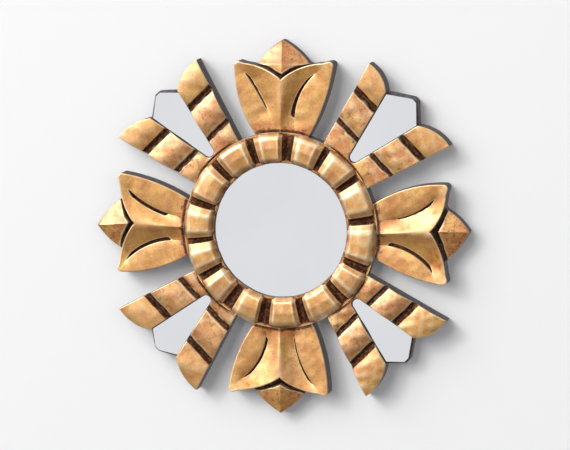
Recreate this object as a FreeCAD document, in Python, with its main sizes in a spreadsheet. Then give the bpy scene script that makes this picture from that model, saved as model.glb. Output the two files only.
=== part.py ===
"""Sunburst wall mirror of carved, gilded wood, in millimetres.

A notched ring holds a round mirror. Four lily petals stand on its main
axes, and four fans of two rays each, with a kite-shaped mirror between
the rays, stand on its diagonals. Each carved piece is lapped into the
ring's back with a tongue and a screw. The back carries a board over the
glass and a D-ring hanger sunk into the top petal.

Frame: X to the right, Z up, Y into the wall. The wall touches Y = 0 and
the origin is on the ring's axis there.

Each piece is drawn lying on its back: its own Z is the height above the
wall, and the X of a petal or fan points outwards from the ring's axis.
"""

import FreeCAD
import Part
import Sketcher

import math
import os

# Driving dimensions

RING = {
    "ring_outer_r": 78.0,
    "rim_height": 15.5,
    "shoulder_r": 72.5,
    "shoulder_height": 19.4,
    "crown_r": 66.0,
    "crown_height": 21.0,
    "inner_crown_r": 59.5,
    "inner_crown_height": 19.6,
    "lip_r": 53.5,
    "lip_height": 14.0,
    "lip_thickness": 1.5,
    "notch_floor_height": 15.0,
    "notch_edge_height": 18.2,
    "notch_half_width": 2.8,
    "flank_half_width": 8.6,
}

GLAZING = {
    "glass_r": 56.5,
    "glass_thickness": 3.0,
    "board_r": 61.5,
    "board_thickness": 3.0,
    "glazing_clearance": 0.4,
    "nail_r": 0.7,
    "nail_length": 9.0,
    "nail_head_r": 1.4,
    "nail_head_height": 0.6,
    "nail_place_r": 59.4,
}

JOINTS = {
    "tongue_thickness": 7.0,
    "tongue_length": 12.0,
    "petal_tongue_half": 14.0,
    "fan_tongue_half": 17.0,
    "joint_clearance": 0.15,
    "screw_r": 1.5,
    "screw_length": 12.0,
    "screw_head_r": 3.0,
    "screw_head_height": 1.8,
    "bore_clearance": 0.1,
}

PETAL = {
    "petal_ridge_height": 19.0,
    "petal_ridge_base_height": 16.4,
    "petal_ridge_foot_height": 15.4,
    "petal_hollow_height": 13.4,
    "petal_hollow_rim_height": 12.8,
    "petal_band_height": 16.0,
    "petal_band_edge_height": 14.0,
    "petal_slit_floor_height": 11.0,
    "petal_ridge_half": 8.5,
    "petal_hollow_half": 19.0,
    "petal_slit_width": 2.4,
    "point_ridge_height": 14.5,
    "point_edge_height": 11.5,
    "point_tip_height": 12.0,
}

FAN = {
    "fan_root_height": 14.8,
    "fan_root_crest": 15.6,
    "fan_middle_edge_height": 15.2,
    "fan_middle_crest": 18.0,
    "fan_end_edge_height": 15.8,
    "fan_end_crest": 17.2,
    "fan_tip_height": 13.8,
    "inner_groove_floor": 12.4,
    "inner_groove_half": 2.2,
    "outer_groove_floor": 11.2,
    "outer_groove_half": 2.8,
    "ledge_height": 10.5,
    "kite_thickness": 2.5,
    "kite_rim": 1.4,
    "kite_clearance": 0.3,
    "kite_root_gap": 2.0,
    "kite_inner_half": 4.6,
    "apex_half": 2.2,
}

HANGER = {
    "recess_depth": 4.2,
    "recess_root_gap": 4.5,
    "recess_clearance": 1.0,
    "wire_r": 1.0,
    "wire_bend_r": 2.0,
    "bar_half": 7.0,
    "ring_lean": 3.0,
    "strap_thickness": 0.8,
    "strap_half": 4.5,
    "strap_length": 13.0,
    "strap_screw_edge": 5.0,
    "hinge_clearance": 0.1,
    "hanger_screw_r": 1.2,
    "hanger_screw_length": 8.0,
    "hanger_head_r": 2.6,
    "hanger_head_height": 1.1,
}

# One overrun past a face serves every cut
TOOLS = {"overrun": 2.0}

# Hand cut pieces: each petal has sizes of its own
PETAL_PIECES = {
    "petal_top": {
        "turn": 90, "reach": 151.0, "tip_side": 0.0, "cleft_reach": 120.5, "cleft_side": -0.6,
        "reach_ccw": 134.2, "span_ccw": 37.6, "base_ccw": 20.4,
        "reach_cw": 135.4, "span_cw": 42.4, "base_cw": 22.6,
    },
    "petal_right": {
        "turn": 0, "reach": 151.0, "tip_side": 3.2, "cleft_reach": 121.5, "cleft_side": 3.4,
        "reach_ccw": 134.8, "span_ccw": 40.8, "base_ccw": 23.2,
        "reach_cw": 135.0, "span_cw": 39.2, "base_cw": 19.6,
    },
    "petal_bottom": {
        "turn": 270, "reach": 147.6, "tip_side": 0.3, "cleft_reach": 118.0, "cleft_side": 1.0,
        "reach_ccw": 131.8, "span_ccw": 39.8, "base_ccw": 26.4,
        "reach_cw": 131.5, "span_cw": 41.4, "base_cw": 20.8,
    },
    "petal_left": {
        "turn": 180, "reach": 150.8, "tip_side": 1.2, "cleft_reach": 118.8, "cleft_side": -2.2,
        "reach_ccw": 133.4, "span_ccw": 37.7, "base_ccw": 22.0,
        "reach_cw": 133.0, "span_cw": 42.0, "base_cw": 22.4,
    },
}

# Each fan has sizes of its own too
FAN_PIECES = {
    "ray_fan_upper_right": {
        "turn": 45, "tip_reach_ccw": 145.2, "tip_span_ccw": 45.2, "root_ccw": 25.4,
        "tip_reach_cw": 146.0, "tip_span_cw": 45.4, "root_cw": 24.4,
        "shoulder_reach": 139.0, "shoulder_ccw": 19.4, "shoulder_cw": 16.6,
        "apex_rise": 12.4, "apex_side": -0.6, "lean": 0.4, "inner_groove": 95.5, "outer_groove": 123.0,
    },
    "ray_fan_upper_left": {
        "turn": 135, "tip_reach_ccw": 143.6, "tip_span_ccw": 44.0, "root_ccw": 24.2,
        "tip_reach_cw": 143.4, "tip_span_cw": 46.2, "root_cw": 25.4,
        "shoulder_reach": 136.2, "shoulder_ccw": 13.8, "shoulder_cw": 17.6,
        "apex_rise": 10.8, "apex_side": -3.2, "lean": -1.4, "inner_groove": 91.5, "outer_groove": 119.6,
    },
    "ray_fan_lower_left": {
        "turn": 225, "tip_reach_ccw": 141.4, "tip_span_ccw": 44.8, "root_ccw": 23.8,
        "tip_reach_cw": 141.6, "tip_span_cw": 45.6, "root_cw": 25.0,
        "shoulder_reach": 134.4, "shoulder_ccw": 14.6, "shoulder_cw": 15.8,
        "apex_rise": 8.4, "apex_side": -1.4, "lean": -1.6, "inner_groove": 87.0, "outer_groove": 116.0,
    },
    "ray_fan_lower_right": {
        "turn": 315, "tip_reach_ccw": 142.6, "tip_span_ccw": 47.2, "root_ccw": 26.2,
        "tip_reach_cw": 142.0, "tip_span_cw": 42.8, "root_cw": 21.0,
        "shoulder_reach": 134.4, "shoulder_ccw": 18.6, "shoulder_cw": 12.4,
        "apex_rise": 10.2, "apex_side": 1.4, "lean": 4.0, "inner_groove": 90.5, "outer_groove": 116.0,
    },
}

# Directions of the ring's notches, spaced by eye as a carver does
NOTCH_ANGLES = (8.5, 35.5, 60.0, 85.0, 109.5, 135.5, 163.0, 188.5, 212.0, 235.5, 260.0, 286.0, 314.0, 337.5)

NAIL_COUNT = 4
TONGUE_COUNT = 8
TURNED_PIECES = 4

# Shares of a lobe's reach and span, for the points of its outline
LOBE_TOP_SHARES = (0.972, 0.50)
LOBE_CREASE_SHARES = (0.988, 0.80)
LOBE_CORNER_SHARES = ((0.998, 0.91), (0.995, 0.975), (0.975, 1.0))
LOBE_SIDE_SHARES = {1: (0.785, 0.92), -1: (0.785, 0.858)}
CREASE_ROOT_SHARE = 0.40
CREASE_BEND_SHARES = (0.80, 0.41)
SLIT_START_SHARES = (0.66, 0.27)
SLIT_END_SHARES = (0.94, 0.74)

# Shares of the petal's reach, and of a lobe's reach and span, for its point
POINT_BULGE_SHARES = (0.936, 0.285)
POINT_SHOULDER_SHARES = (0.985, 0.55)
POINT_ROOT_SHARES = (0.84, 0.24)
RIDGE_RISE_SHARE = 0.66
POINT_FALL_SHARE = 0.87

# Share of a ray's span at which its end curve stands out furthest
RAY_END_SHARE = 0.70

# Share of a ray's length that slopes up to its crown at either end
CROWN_SLOPE_SHARE = 0.28

# How far along both ways a quarter bend is at its middle
QUARTER_BEND_SHARE = 0.7071

# Small rods, heads, wire and the holes for them are six-sided, their corners on the named radius
ROD_SIDES = 6
HALF_SIDE = 180 / ROD_SIDES

doc = FreeCAD.newDocument("sunburst_mirror")
sheet = doc.addObject("Spreadsheet::Sheet", "sizes")
written = []


def write_sizes(sizes, prefix=""):
    """Write named sizes into the sheet, one row each, with the name as alias."""
    for name, size in sizes.items():
        row = len(written) + 1
        alias = prefix + name
        sheet.set(f"A{row}", alias)
        sheet.set(f"B{row}", str(size))
        sheet.setAlias(f"B{row}", alias)
        written.append(alias)


for group in (RING, GLAZING, JOINTS, PETAL, FAN, HANGER, TOOLS):
    write_sizes(group)
for pieces in (PETAL_PIECES, FAN_PIECES):
    for piece, piece_sizes in pieces.items():
        write_sizes(piece_sizes, piece + "_")
write_sizes({f"notch_angle_{number}": angle for number, angle in enumerate(NOTCH_ANGLES, 1)})
doc.recompute()


def cell(name):
    """Name a cell the way an expression reads it."""
    return f"sizes.{name}"


def share(name, part):
    """Take a share of a named size."""
    return f"{part} * sizes.{name}"


def amount(expression):
    """Work out an expression as a plain number."""
    return float(sheet.evalExpression(expression))


def on_circle(radius, side):
    """Outward place of the point of a circle that stands to one side of X."""
    return f"sqrt(({radius})^2 - ({side})^2)"


# What the expressions share
SEAT_R = "(sizes.ring_outer_r + sizes.joint_clearance)"
SCREW_PLACE = "(sizes.ring_outer_r - sizes.tongue_length / 2)"
TONGUE_TOP = "(sizes.tongue_thickness - sizes.joint_clearance)"
GLASS_BACK = "(sizes.lip_height - sizes.lip_thickness - sizes.glass_thickness)"
KITE_ROOT = "(sizes.ring_outer_r + sizes.kite_root_gap)"
FAN_HEIGHT = "max(sizes.fan_root_crest; sizes.fan_middle_crest; sizes.fan_end_crest)"
RECESS_START = "(sizes.ring_outer_r + sizes.recess_root_gap)"
HINGE_REACH = f"({RECESS_START} + sizes.recess_clearance + sizes.strap_length)"
HINGE_HEIGHT = "(sizes.recess_depth - sizes.strap_thickness - sizes.hinge_clearance - sizes.wire_r)"
BOW_R = "(sizes.bar_half + sizes.wire_bend_r)"
NAIL = (cell("nail_r"), cell("nail_length"), cell("nail_head_r"), cell("nail_head_height"))
SCREW = (cell("screw_r"), cell("screw_length"), cell("screw_head_r"), cell("screw_head_height"))
SCREW_HOLE_R = "(sizes.screw_r + sizes.bore_clearance)"
NAIL_HOLE_R = "(sizes.nail_r + sizes.bore_clearance)"
HANGER_HOLE_R = "(sizes.hanger_screw_r + sizes.bore_clearance)"
STRAP_SCREW_PLACE = f"({HINGE_REACH} - sizes.strap_length + sizes.strap_screw_edge)"


def plane_of(body, role):
    """Find one of a body's own origin planes or axes."""
    return next(feature for feature in body.Origin.OriginFeatures if feature.Role == role)


def draw(body, name, plane, outline, height=None, turn=None):
    """Draw a closed outline on a plane of a body, each point bound to the sheet.

    outline is a list of steps: (x, y) draws a line to a point, and
    (bend_x, bend_y, x, y) draws an arc through the bend to the point.
    height lifts an XY drawing, and turn swings a YZ drawing about Z.
    """
    sketch = body.newObject("Sketcher::SketchObject", name)
    sketch.AttachmentSupport = [(plane_of(body, plane), "")]
    sketch.MapMode = "FlatFace"
    if height:
        sketch.setExpression("AttachmentOffset.Base.z", height)
    if turn:
        upright = FreeCAD.Vector(0, 1, 0)
        sketch.AttachmentOffset = FreeCAD.Placement(FreeCAD.Vector(), FreeCAD.Rotation(upright, 1))
        sketch.setExpression("AttachmentOffset.Rotation.Angle", turn)
    ends = [FreeCAD.Vector(amount(step[-2]), amount(step[-1]), 0) for step in outline]
    geometry, first, last = [], [], []
    for number, step in enumerate(outline):
        start, end = ends[number - 1], ends[number]
        backwards = False
        if len(step) == 4:
            bend = FreeCAD.Vector(amount(step[0]), amount(step[1]), 0)
            curve, backwards = arc_through(start, bend, end)
        else:
            curve = Part.LineSegment(start, end)
        geometry.append(curve)
        first.append(2 if backwards else 1)
        last.append(1 if backwards else 2)
    sketch.addGeometry(geometry, False)
    for number, step in enumerate(outline):
        after = (number + 1) % len(outline)
        sketch.addConstraint(Sketcher.Constraint("Coincident", number, last[number], after, first[after]))
        bind_point(sketch, number, last[number], step[-2], step[-1])
        if len(step) == 4:
            bend = FreeCAD.Vector(amount(step[0]), amount(step[1]), 0)
            mark = sketch.addGeometry(Part.Point(bend), True)
            bind_point(sketch, mark, 1, step[0], step[1])
            sketch.addConstraint(Sketcher.Constraint("PointOnObject", mark, 1, number))
    return sketch


def arc_through(start, bend, end):
    """Arc through three points, and whether it runs backwards, as arcs are kept anticlockwise."""
    through = Part.Arc(start, bend, end).toShape().Curve
    circle = Part.Circle(through.Center, FreeCAD.Vector(0, 0, 1), through.Radius)
    backwards = (bend - start).cross(end - bend).z < 0
    ends = (end, start) if backwards else (start, end)
    angles = [math.atan2(point.y - circle.Center.y, point.x - circle.Center.x) for point in ends]
    if angles[1] < angles[0]:
        angles[1] += 2 * math.pi
    return Part.ArcOfCircle(circle, angles[0], angles[1]), backwards


def bind_point(sketch, geometry, end, x, y):
    """Tie a point of a sketch to two expressions."""
    for kind, expression in (("DistanceX", x), ("DistanceY", y)):
        constraint = sketch.addConstraint(Sketcher.Constraint(kind, geometry, end, amount(expression)))
        sketch.setExpression(f"Constraints[{constraint}]", expression)


def draw_circle(body, name, radius):
    """Draw a circle about the origin on a body's XY plane."""
    sketch = body.newObject("Sketcher::SketchObject", name)
    sketch.AttachmentSupport = [(plane_of(body, "XY_Plane"), "")]
    sketch.MapMode = "FlatFace"
    sketch.addGeometry(Part.Circle(FreeCAD.Vector(), FreeCAD.Vector(0, 0, 1), amount(radius)), False)
    bind_point(sketch, 0, 3, "0", "0")
    constraint = sketch.addConstraint(Sketcher.Constraint("Radius", 0, amount(radius)))
    sketch.setExpression(f"Constraints[{constraint}]", radius)
    return sketch


def rod_outline(place, radius, turn=0):
    """Outline of a rod or its hole, at a place along X, turned about its own middle."""
    turns = [turn + 360 * number / ROD_SIDES for number in range(ROD_SIDES)]
    return [(f"{place} + {radius} * cos({turn})", f"{radius} * sin({turn})") for turn in turns]


def rod(label, place, low, radius, length, turn=0):
    """Make a rod that stands on its back, at a place out from the axis and a turn about it."""
    made = doc.addObject("Part::Prism", label)
    made.Polygon = ROD_SIDES
    made.setExpression("Circumradius", radius)
    made.setExpression("Height", length)
    made.Placement = FreeCAD.Placement(FreeCAD.Vector(), FreeCAD.Rotation(FreeCAD.Vector(0, 0, 1), turn))
    made.setExpression("Placement.Base.x", f"{place} * cos({turn})")
    made.setExpression("Placement.Base.y", f"{place} * sin({turn})")
    made.setExpression("Placement.Base.z", low)
    return made


def pad(body, sketch, length):
    """Raise a drawing into wood, away from the wall."""
    feature = body.newObject("PartDesign::Pad", sketch.Name + "_pad")
    feature.Profile = sketch
    feature.setExpression("Length", length)
    doc.recompute()
    return feature


def pocket(body, sketch, length, both_ways=False, away=True):
    """Cut a drawing out of a body, and make sure that wood went."""
    before = body.Shape.Volume
    feature = body.newObject("PartDesign::Pocket", sketch.Name + "_cut")
    feature.Profile = sketch
    feature.Midplane = both_ways
    feature.Reversed = away
    feature.setExpression("Length", length)
    doc.recompute()
    check_cut(body, sketch, feature, before)
    return feature


def check_cut(body, sketch, feature, before):
    """Stop the build if a cut took no wood away."""
    if not body.Shape.Volume < before:
        raise RuntimeError(f"{sketch.Name} cuts nothing: {sketch.State}, {feature.State}")


def ring_of_cuts(body, feature, count):
    """Repeat a cut round the body's own Z axis."""
    pattern = body.newObject("PartDesign::PolarPattern", feature.Name + "_round")
    pattern.Originals = [feature]
    pattern.Axis = (plane_of(body, "Z_Axis"), [""])
    pattern.Angle = 360
    pattern.Occurrences = count
    body.Tip = pattern
    doc.recompute()
    return pattern


def new_body(label):
    """Start a body."""
    body = doc.addObject("PartDesign::Body", label)
    body.Label = label
    return body


def facing_out(turn=0):
    """Place a piece drawn on its back: turn is where its X points, from +X towards +Z."""
    stand = FreeCAD.Rotation(FreeCAD.Vector(1, 0, 0), 90)
    swing = FreeCAD.Rotation(FreeCAD.Vector(0, 1, 0), -turn)
    return FreeCAD.Placement(FreeCAD.Vector(), swing * stand)


def rectangle(low_x, low_y, high_x, high_y):
    """Outline of a rectangle."""
    return [(high_x, low_y), (high_x, high_y), (low_x, high_y), (low_x, low_y)]


# Ring

def make_ring():
    """Turn the ring, notch it into billets and cut its back for what it holds."""
    body = new_body("carved_ring")
    under_lip = "sizes.lip_height - sizes.lip_thickness"
    rebate = "sizes.glass_r + sizes.glazing_clearance"
    board_rebate = "sizes.board_r + sizes.glazing_clearance"
    section = [
        (cell("lip_r"), cell("lip_height")),
        (cell("inner_crown_r"), cell("inner_crown_height")),
        (cell("crown_r"), cell("crown_height")),
        (cell("shoulder_r"), cell("shoulder_height")),
        (cell("ring_outer_r"), cell("rim_height")),
        (cell("ring_outer_r"), "0"),
        (board_rebate, "0"),
        (board_rebate, cell("board_thickness")),
        (rebate, cell("board_thickness")),
        (rebate, under_lip),
        (cell("lip_r"), under_lip),
    ]
    profile = draw(body, "ring_section", "XZ_Plane", section)
    turned = body.newObject("PartDesign::Revolution", "ring_turning")
    turned.Profile = profile
    turned.ReferenceAxis = (plane_of(body, "Z_Axis"), [""])
    turned.Angle = 360
    doc.recompute()
    top = "sizes.crown_height + sizes.overrun"
    for number in range(1, len(NOTCH_ANGLES) + 1):
        notch = [
            ("sizes.notch_half_width", "sizes.notch_edge_height"),
            ("sizes.flank_half_width", "sizes.crown_height"),
            ("sizes.flank_half_width", top),
            ("-sizes.flank_half_width", top),
            ("-sizes.flank_half_width", "sizes.crown_height"),
            ("-sizes.notch_half_width", "sizes.notch_edge_height"),
            ("0", "sizes.notch_floor_height"),
        ]
        sketch = draw(body, f"notch_{number}", "YZ_Plane", notch, turn=cell(f"notch_angle_{number}"))
        pocket(body, sketch, "sizes.ring_outer_r + sizes.overrun")
    cut_sockets(body, "petal_socket", "sizes.petal_tongue_half")
    diagonal = cut_sockets(body, "fan_socket", "sizes.fan_tongue_half")
    body.Tip = diagonal
    pilot = draw(body, "screw_pilot", "XY_Plane", rod_outline(SCREW_PLACE, SCREW_HOLE_R))
    pilot_cut = pocket(body, pilot, "sizes.screw_length + sizes.bore_clearance")
    ring_of_cuts(body, pilot_cut, TONGUE_COUNT)
    nail = draw(body, "nail_pilot", "XY_Plane", rod_outline(cell("nail_place_r"), NAIL_HOLE_R))
    nail_cut = pocket(body, nail, "sizes.nail_length + sizes.bore_clearance")
    ring_of_cuts(body, nail_cut, NAIL_COUNT)
    body.Placement = facing_out()
    return body


def cut_sockets(body, name, half):
    """Cut four housings for tongues into the ring's back, a quarter turn apart."""
    inner = "sizes.ring_outer_r - sizes.tongue_length - sizes.joint_clearance"
    outer = "sizes.ring_outer_r + sizes.overrun"
    half = f"({half} + sizes.joint_clearance)"
    if name == "fan_socket":
        corners = rectangle(inner, f"-{half}", outer, half)
        outline = [(f"(({x}) - ({y})) * sqrt(0.5)", f"(({x}) + ({y})) * sqrt(0.5)") for x, y in corners]
    else:
        outline = rectangle(inner, f"-{half}", outer, half)
    sketch = draw(body, name, "XY_Plane", outline)
    cut = pocket(body, sketch, cell("tongue_thickness"))
    return ring_of_cuts(body, cut, TURNED_PIECES)


# Glazing

def make_disc(label, radius, thickness, height):
    """Make a plain round sheet at a height above the wall."""
    disc = doc.addObject("Part::Cylinder", label)
    disc.setExpression("Radius", radius)
    disc.setExpression("Height", thickness)
    disc.Placement = facing_out()
    disc.setExpression("Placement.Base.y", f"-({height})")
    return disc


def make_back_board():
    """Make the round hardboard that closes the back, with holes for its nails."""
    body = new_body("back_board")
    pad(body, draw_circle(body, "board_outline", cell("board_r")), cell("board_thickness"))
    place_r = cell("nail_place_r")
    hole = draw(body, "board_hole", "XY_Plane", rod_outline(place_r, NAIL_HOLE_R))
    hole_cut = pocket(body, hole, "sizes.board_thickness + sizes.overrun")
    ring_of_cuts(body, hole_cut, NAIL_COUNT)
    head_hole = rod_outline(place_r, "(sizes.nail_head_r + sizes.bore_clearance)")
    sink = draw(body, "board_sink", "XY_Plane", head_hole)
    sink_cut = pocket(body, sink, cell("nail_head_height"))
    ring_of_cuts(body, sink_cut, NAIL_COUNT)
    body.Placement = facing_out()
    return body


def make_fixings(label, count, place_r, fixing):
    """Make a ring of nails or screws driven from the back, as separate solids."""
    shank_r, length, head_r, head_height = fixing
    pieces = []
    for number in range(count):
        turn = 360 * number / count
        whole = doc.addObject("Part::Fuse", f"{label}_{number}")
        whole.Base = rod(f"{label}_shank_{number}", place_r, "0", shank_r, length, turn)
        whole.Tool = rod(f"{label}_head_{number}", place_r, "0", head_r, head_height, turn)
        pieces.append(whole)
    group_object = doc.addObject("Part::Compound", label)
    group_object.Links = pieces
    group_object.Placement = facing_out()
    return group_object


# Tongues

def add_tongue(body, half):
    """Add the tongue that lies in the ring's back, with a stepped hole for its screw."""
    inner = "sizes.ring_outer_r - sizes.tongue_length"
    outer = "sizes.ring_outer_r + sizes.overrun"
    tongue = draw(body, body.Name + "_tongue", "XY_Plane", rectangle(inner, f"-{half}", outer, half))
    pad(body, tongue, TONGUE_TOP)
    hole = draw(body, body.Name + "_hole", "XY_Plane", rod_outline(SCREW_PLACE, SCREW_HOLE_R))
    pocket(body, hole, "sizes.tongue_thickness + sizes.overrun")
    head_hole_r = "(sizes.screw_head_r + sizes.bore_clearance)"
    sink = draw(body, body.Name + "_sink", "XY_Plane", rod_outline(SCREW_PLACE, head_hole_r))
    pocket(body, sink, cell("screw_head_height"))


# Petals

def lobe_point(piece, sign, shares):
    """Point of a lobe's outline, as shares of its reach and span."""
    side = "ccw" if sign > 0 else "cw"
    return share(f"{piece}_reach_{side}", shares[0]), share(f"{piece}_span_{side}", sign * shares[1])


def base_point(piece, sign, part):
    """Point of a petal's base on the ring, at a share of the half width there."""
    side = share(f"{piece}_base_{'ccw' if sign > 0 else 'cw'}", sign * part)
    return on_circle(SEAT_R, side), side


def petal_side(piece, sign):
    """Furthest side place of a lobe."""
    return lobe_point(piece, sign, (1, 1))[1]


def whole_width(piece):
    """More than the width of a petal, for a cut right across it."""
    return f"2 * (sizes.{piece}_span_ccw + sizes.{piece}_span_cw)"


def petal_heart(piece):
    """Carve the middle of a petal: a ridge between two hollows, with a slit in each."""
    body = new_body(piece + "_heart")
    cleft = (cell(piece + "_cleft_reach"), cell(piece + "_cleft_side"))
    roots = {sign: base_point(piece, sign, CREASE_ROOT_SHARE) for sign in (1, -1)}
    outline = [
        (SEAT_R, "0") + roots[-1],
        lobe_point(piece, -1, CREASE_BEND_SHARES) + lobe_point(piece, -1, LOBE_CREASE_SHARES),
        lobe_point(piece, -1, LOBE_TOP_SHARES) + cleft,
        lobe_point(piece, 1, LOBE_TOP_SHARES) + lobe_point(piece, 1, LOBE_CREASE_SHARES),
        lobe_point(piece, 1, CREASE_BEND_SHARES) + roots[1],
    ]
    pad(body, draw(body, piece + "_heart_plan", "XY_Plane", outline), cell("petal_ridge_height"))
    top = "sizes.petal_ridge_height + sizes.overrun"
    left, right = petal_side(piece, 1), petal_side(piece, -1)
    hollows = [
        ("sizes.petal_ridge_half", "sizes.petal_ridge_foot_height"),
        ("sizes.petal_hollow_half", "sizes.petal_hollow_height"),
        (left, "sizes.petal_hollow_rim_height"),
        (left, top),
        (right, top),
        (right, "sizes.petal_hollow_rim_height"),
        ("-sizes.petal_hollow_half", "sizes.petal_hollow_height"),
        ("-sizes.petal_ridge_half", "sizes.petal_ridge_foot_height"),
        ("0", "sizes.petal_ridge_height"),
    ]
    across = draw(body, piece + "_hollows", "YZ_Plane", hollows)
    pocket(body, across, cell(piece + "_reach"))
    before_ring = "sizes.ring_outer_r - sizes.overrun"
    rise = [
        (share(piece + "_reach", RIDGE_RISE_SHARE), "sizes.petal_ridge_height"),
        (share(piece + "_reach", RIDGE_RISE_SHARE), top),
        (before_ring, top),
        (before_ring, "sizes.petal_ridge_base_height"),
    ]
    pocket(body, draw(body, piece + "_rise", "XZ_Plane", rise), whole_width(piece), both_ways=True)
    for sign in (1, -1):
        bend = lobe_point(piece, sign, CREASE_BEND_SHARES)
        start = lobe_point(piece, sign, SLIT_START_SHARES)
        end = lobe_point(piece, sign, SLIT_END_SHARES)
        inner_bend = (bend[0], f"{bend[1]} - {sign} * sizes.petal_slit_width")
        slit = [bend + end, inner_bend + start]
        name = f"{piece}_slit_{'ccw' if sign > 0 else 'cw'}"
        sketch = draw(body, name, "XY_Plane", slit, height=cell("petal_slit_floor_height"))
        pocket(body, sketch, cell("petal_ridge_height"))
    return body


def petal_band(piece, sign):
    """Carve the raised outer band of one lobe."""
    name = f"{piece}_band_{'ccw' if sign > 0 else 'cw'}"
    body = new_body(name)
    corner_start, corner_bend, corner_end = (lobe_point(piece, sign, pair) for pair in LOBE_CORNER_SHARES)
    middle_share = (1 + CREASE_ROOT_SHARE) / 2
    outline = [
        lobe_point(piece, sign, CREASE_BEND_SHARES) + lobe_point(piece, sign, LOBE_CREASE_SHARES),
        corner_start,
        corner_bend + corner_end,
        lobe_point(piece, sign, LOBE_SIDE_SHARES[sign]) + base_point(piece, sign, 1),
        base_point(piece, sign, middle_share) + base_point(piece, sign, CREASE_ROOT_SHARE),
    ]
    pad(body, draw(body, name + "_plan", "XY_Plane", outline), cell("petal_band_height"))
    top = "sizes.petal_band_height + sizes.overrun"
    edge = petal_side(piece, sign)
    past = f"{edge} + {sign} * sizes.overrun"
    fall = [
        (edge, "sizes.petal_band_edge_height"),
        (past, "sizes.petal_band_edge_height"),
        (past, top),
        ("0", top),
        ("0", "sizes.petal_band_height"),
    ]
    pocket(body, draw(body, name + "_fall", "YZ_Plane", fall), cell(piece + "_reach"))
    return body


def petal_point(piece):
    """Carve the low gabled point that stands behind the two lobes."""
    body = new_body(piece + "_point")
    tip_side = cell(piece + "_tip_side")
    out = share(piece + "_reach", POINT_BULGE_SHARES[0])
    bulge, shoulder, root = {}, {}, {}
    for sign in (1, -1):
        span = f"{piece}_span_{'ccw' if sign > 0 else 'cw'}"
        bulge[sign] = (out, f"{share(span, sign * POINT_BULGE_SHARES[1])} + {tip_side} / 2")
        shoulder[sign] = lobe_point(piece, sign, POINT_SHOULDER_SHARES)
        root[sign] = lobe_point(piece, sign, POINT_ROOT_SHARES)
    outline = [
        bulge[1] + shoulder[1],
        root[1],
        root[-1],
        shoulder[-1],
        bulge[-1] + (cell(piece + "_reach"), tip_side),
    ]
    pad(body, draw(body, piece + "_point_plan", "XY_Plane", outline), cell("point_ridge_height"))
    top = "sizes.point_ridge_height + sizes.overrun"
    gable = [
        (shoulder[1][1], "sizes.point_edge_height"),
        (shoulder[1][1], top),
        (shoulder[-1][1], top),
        (shoulder[-1][1], "sizes.point_edge_height"),
        (f"{tip_side} / 2", "sizes.point_ridge_height"),
    ]
    past = f"sizes.{piece}_reach + sizes.overrun"
    pocket(body, draw(body, piece + "_gable", "YZ_Plane", gable), past)
    fall = [
        (past, "sizes.point_tip_height"),
        (past, top),
        (share(piece + "_reach", POINT_FALL_SHARE), top),
        (share(piece + "_reach", POINT_FALL_SHARE), "sizes.point_ridge_height"),
    ]
    pocket(body, draw(body, piece + "_fall", "XZ_Plane", fall), whole_width(piece), both_ways=True)
    return body


def make_petal(piece):
    """Join heart, bands, point and tongue of a petal into one block of wood."""
    root = new_body(piece + "_root")
    add_tongue(root, "sizes.petal_tongue_half")
    blocks = [petal_heart(piece), petal_band(piece, 1), petal_band(piece, -1), petal_point(piece), root]
    petal = doc.addObject("Part::MultiFuse", piece + "_block")
    petal.Shapes = blocks
    petal.Refine = True
    doc.recompute()
    if piece == "petal_top":
        petal = sink_hanger(petal)
    petal.Label = piece
    petal.Placement = facing_out(PETAL_PIECES[piece]["turn"])
    return petal


# Hanger

def sink_hanger(petal):
    """Sink a recess for the hanger into the back of the top petal, with a hole for its screw."""
    half = f"({BOW_R} + sizes.wire_r + sizes.recess_clearance)"
    end = f"({HINGE_REACH} + sizes.wire_bend_r + {half})"
    recess = doc.addObject("Part::Box", "hanger_recess")
    recess.setExpression("Length", f"{end} - {RECESS_START}")
    recess.setExpression("Width", f"2 * {half}")
    recess.setExpression("Height", "sizes.recess_depth + sizes.overrun")
    recess.setExpression("Placement.Base.x", RECESS_START)
    recess.setExpression("Placement.Base.y", f"-{half}")
    recess.setExpression("Placement.Base.z", "-sizes.overrun")
    depth = "sizes.recess_depth + sizes.hanger_screw_length"
    hole = rod("hanger_pilot", STRAP_SCREW_PLACE, "0", HANGER_HOLE_R, depth)
    cuts = doc.addObject("Part::MultiFuse", "hanger_cuts")
    cuts.Shapes = [recess, hole]
    hollowed = doc.addObject("Part::Cut", "petal_top_hollowed")
    hollowed.Base = petal
    hollowed.Tool = cuts
    doc.recompute()
    return hollowed


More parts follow.
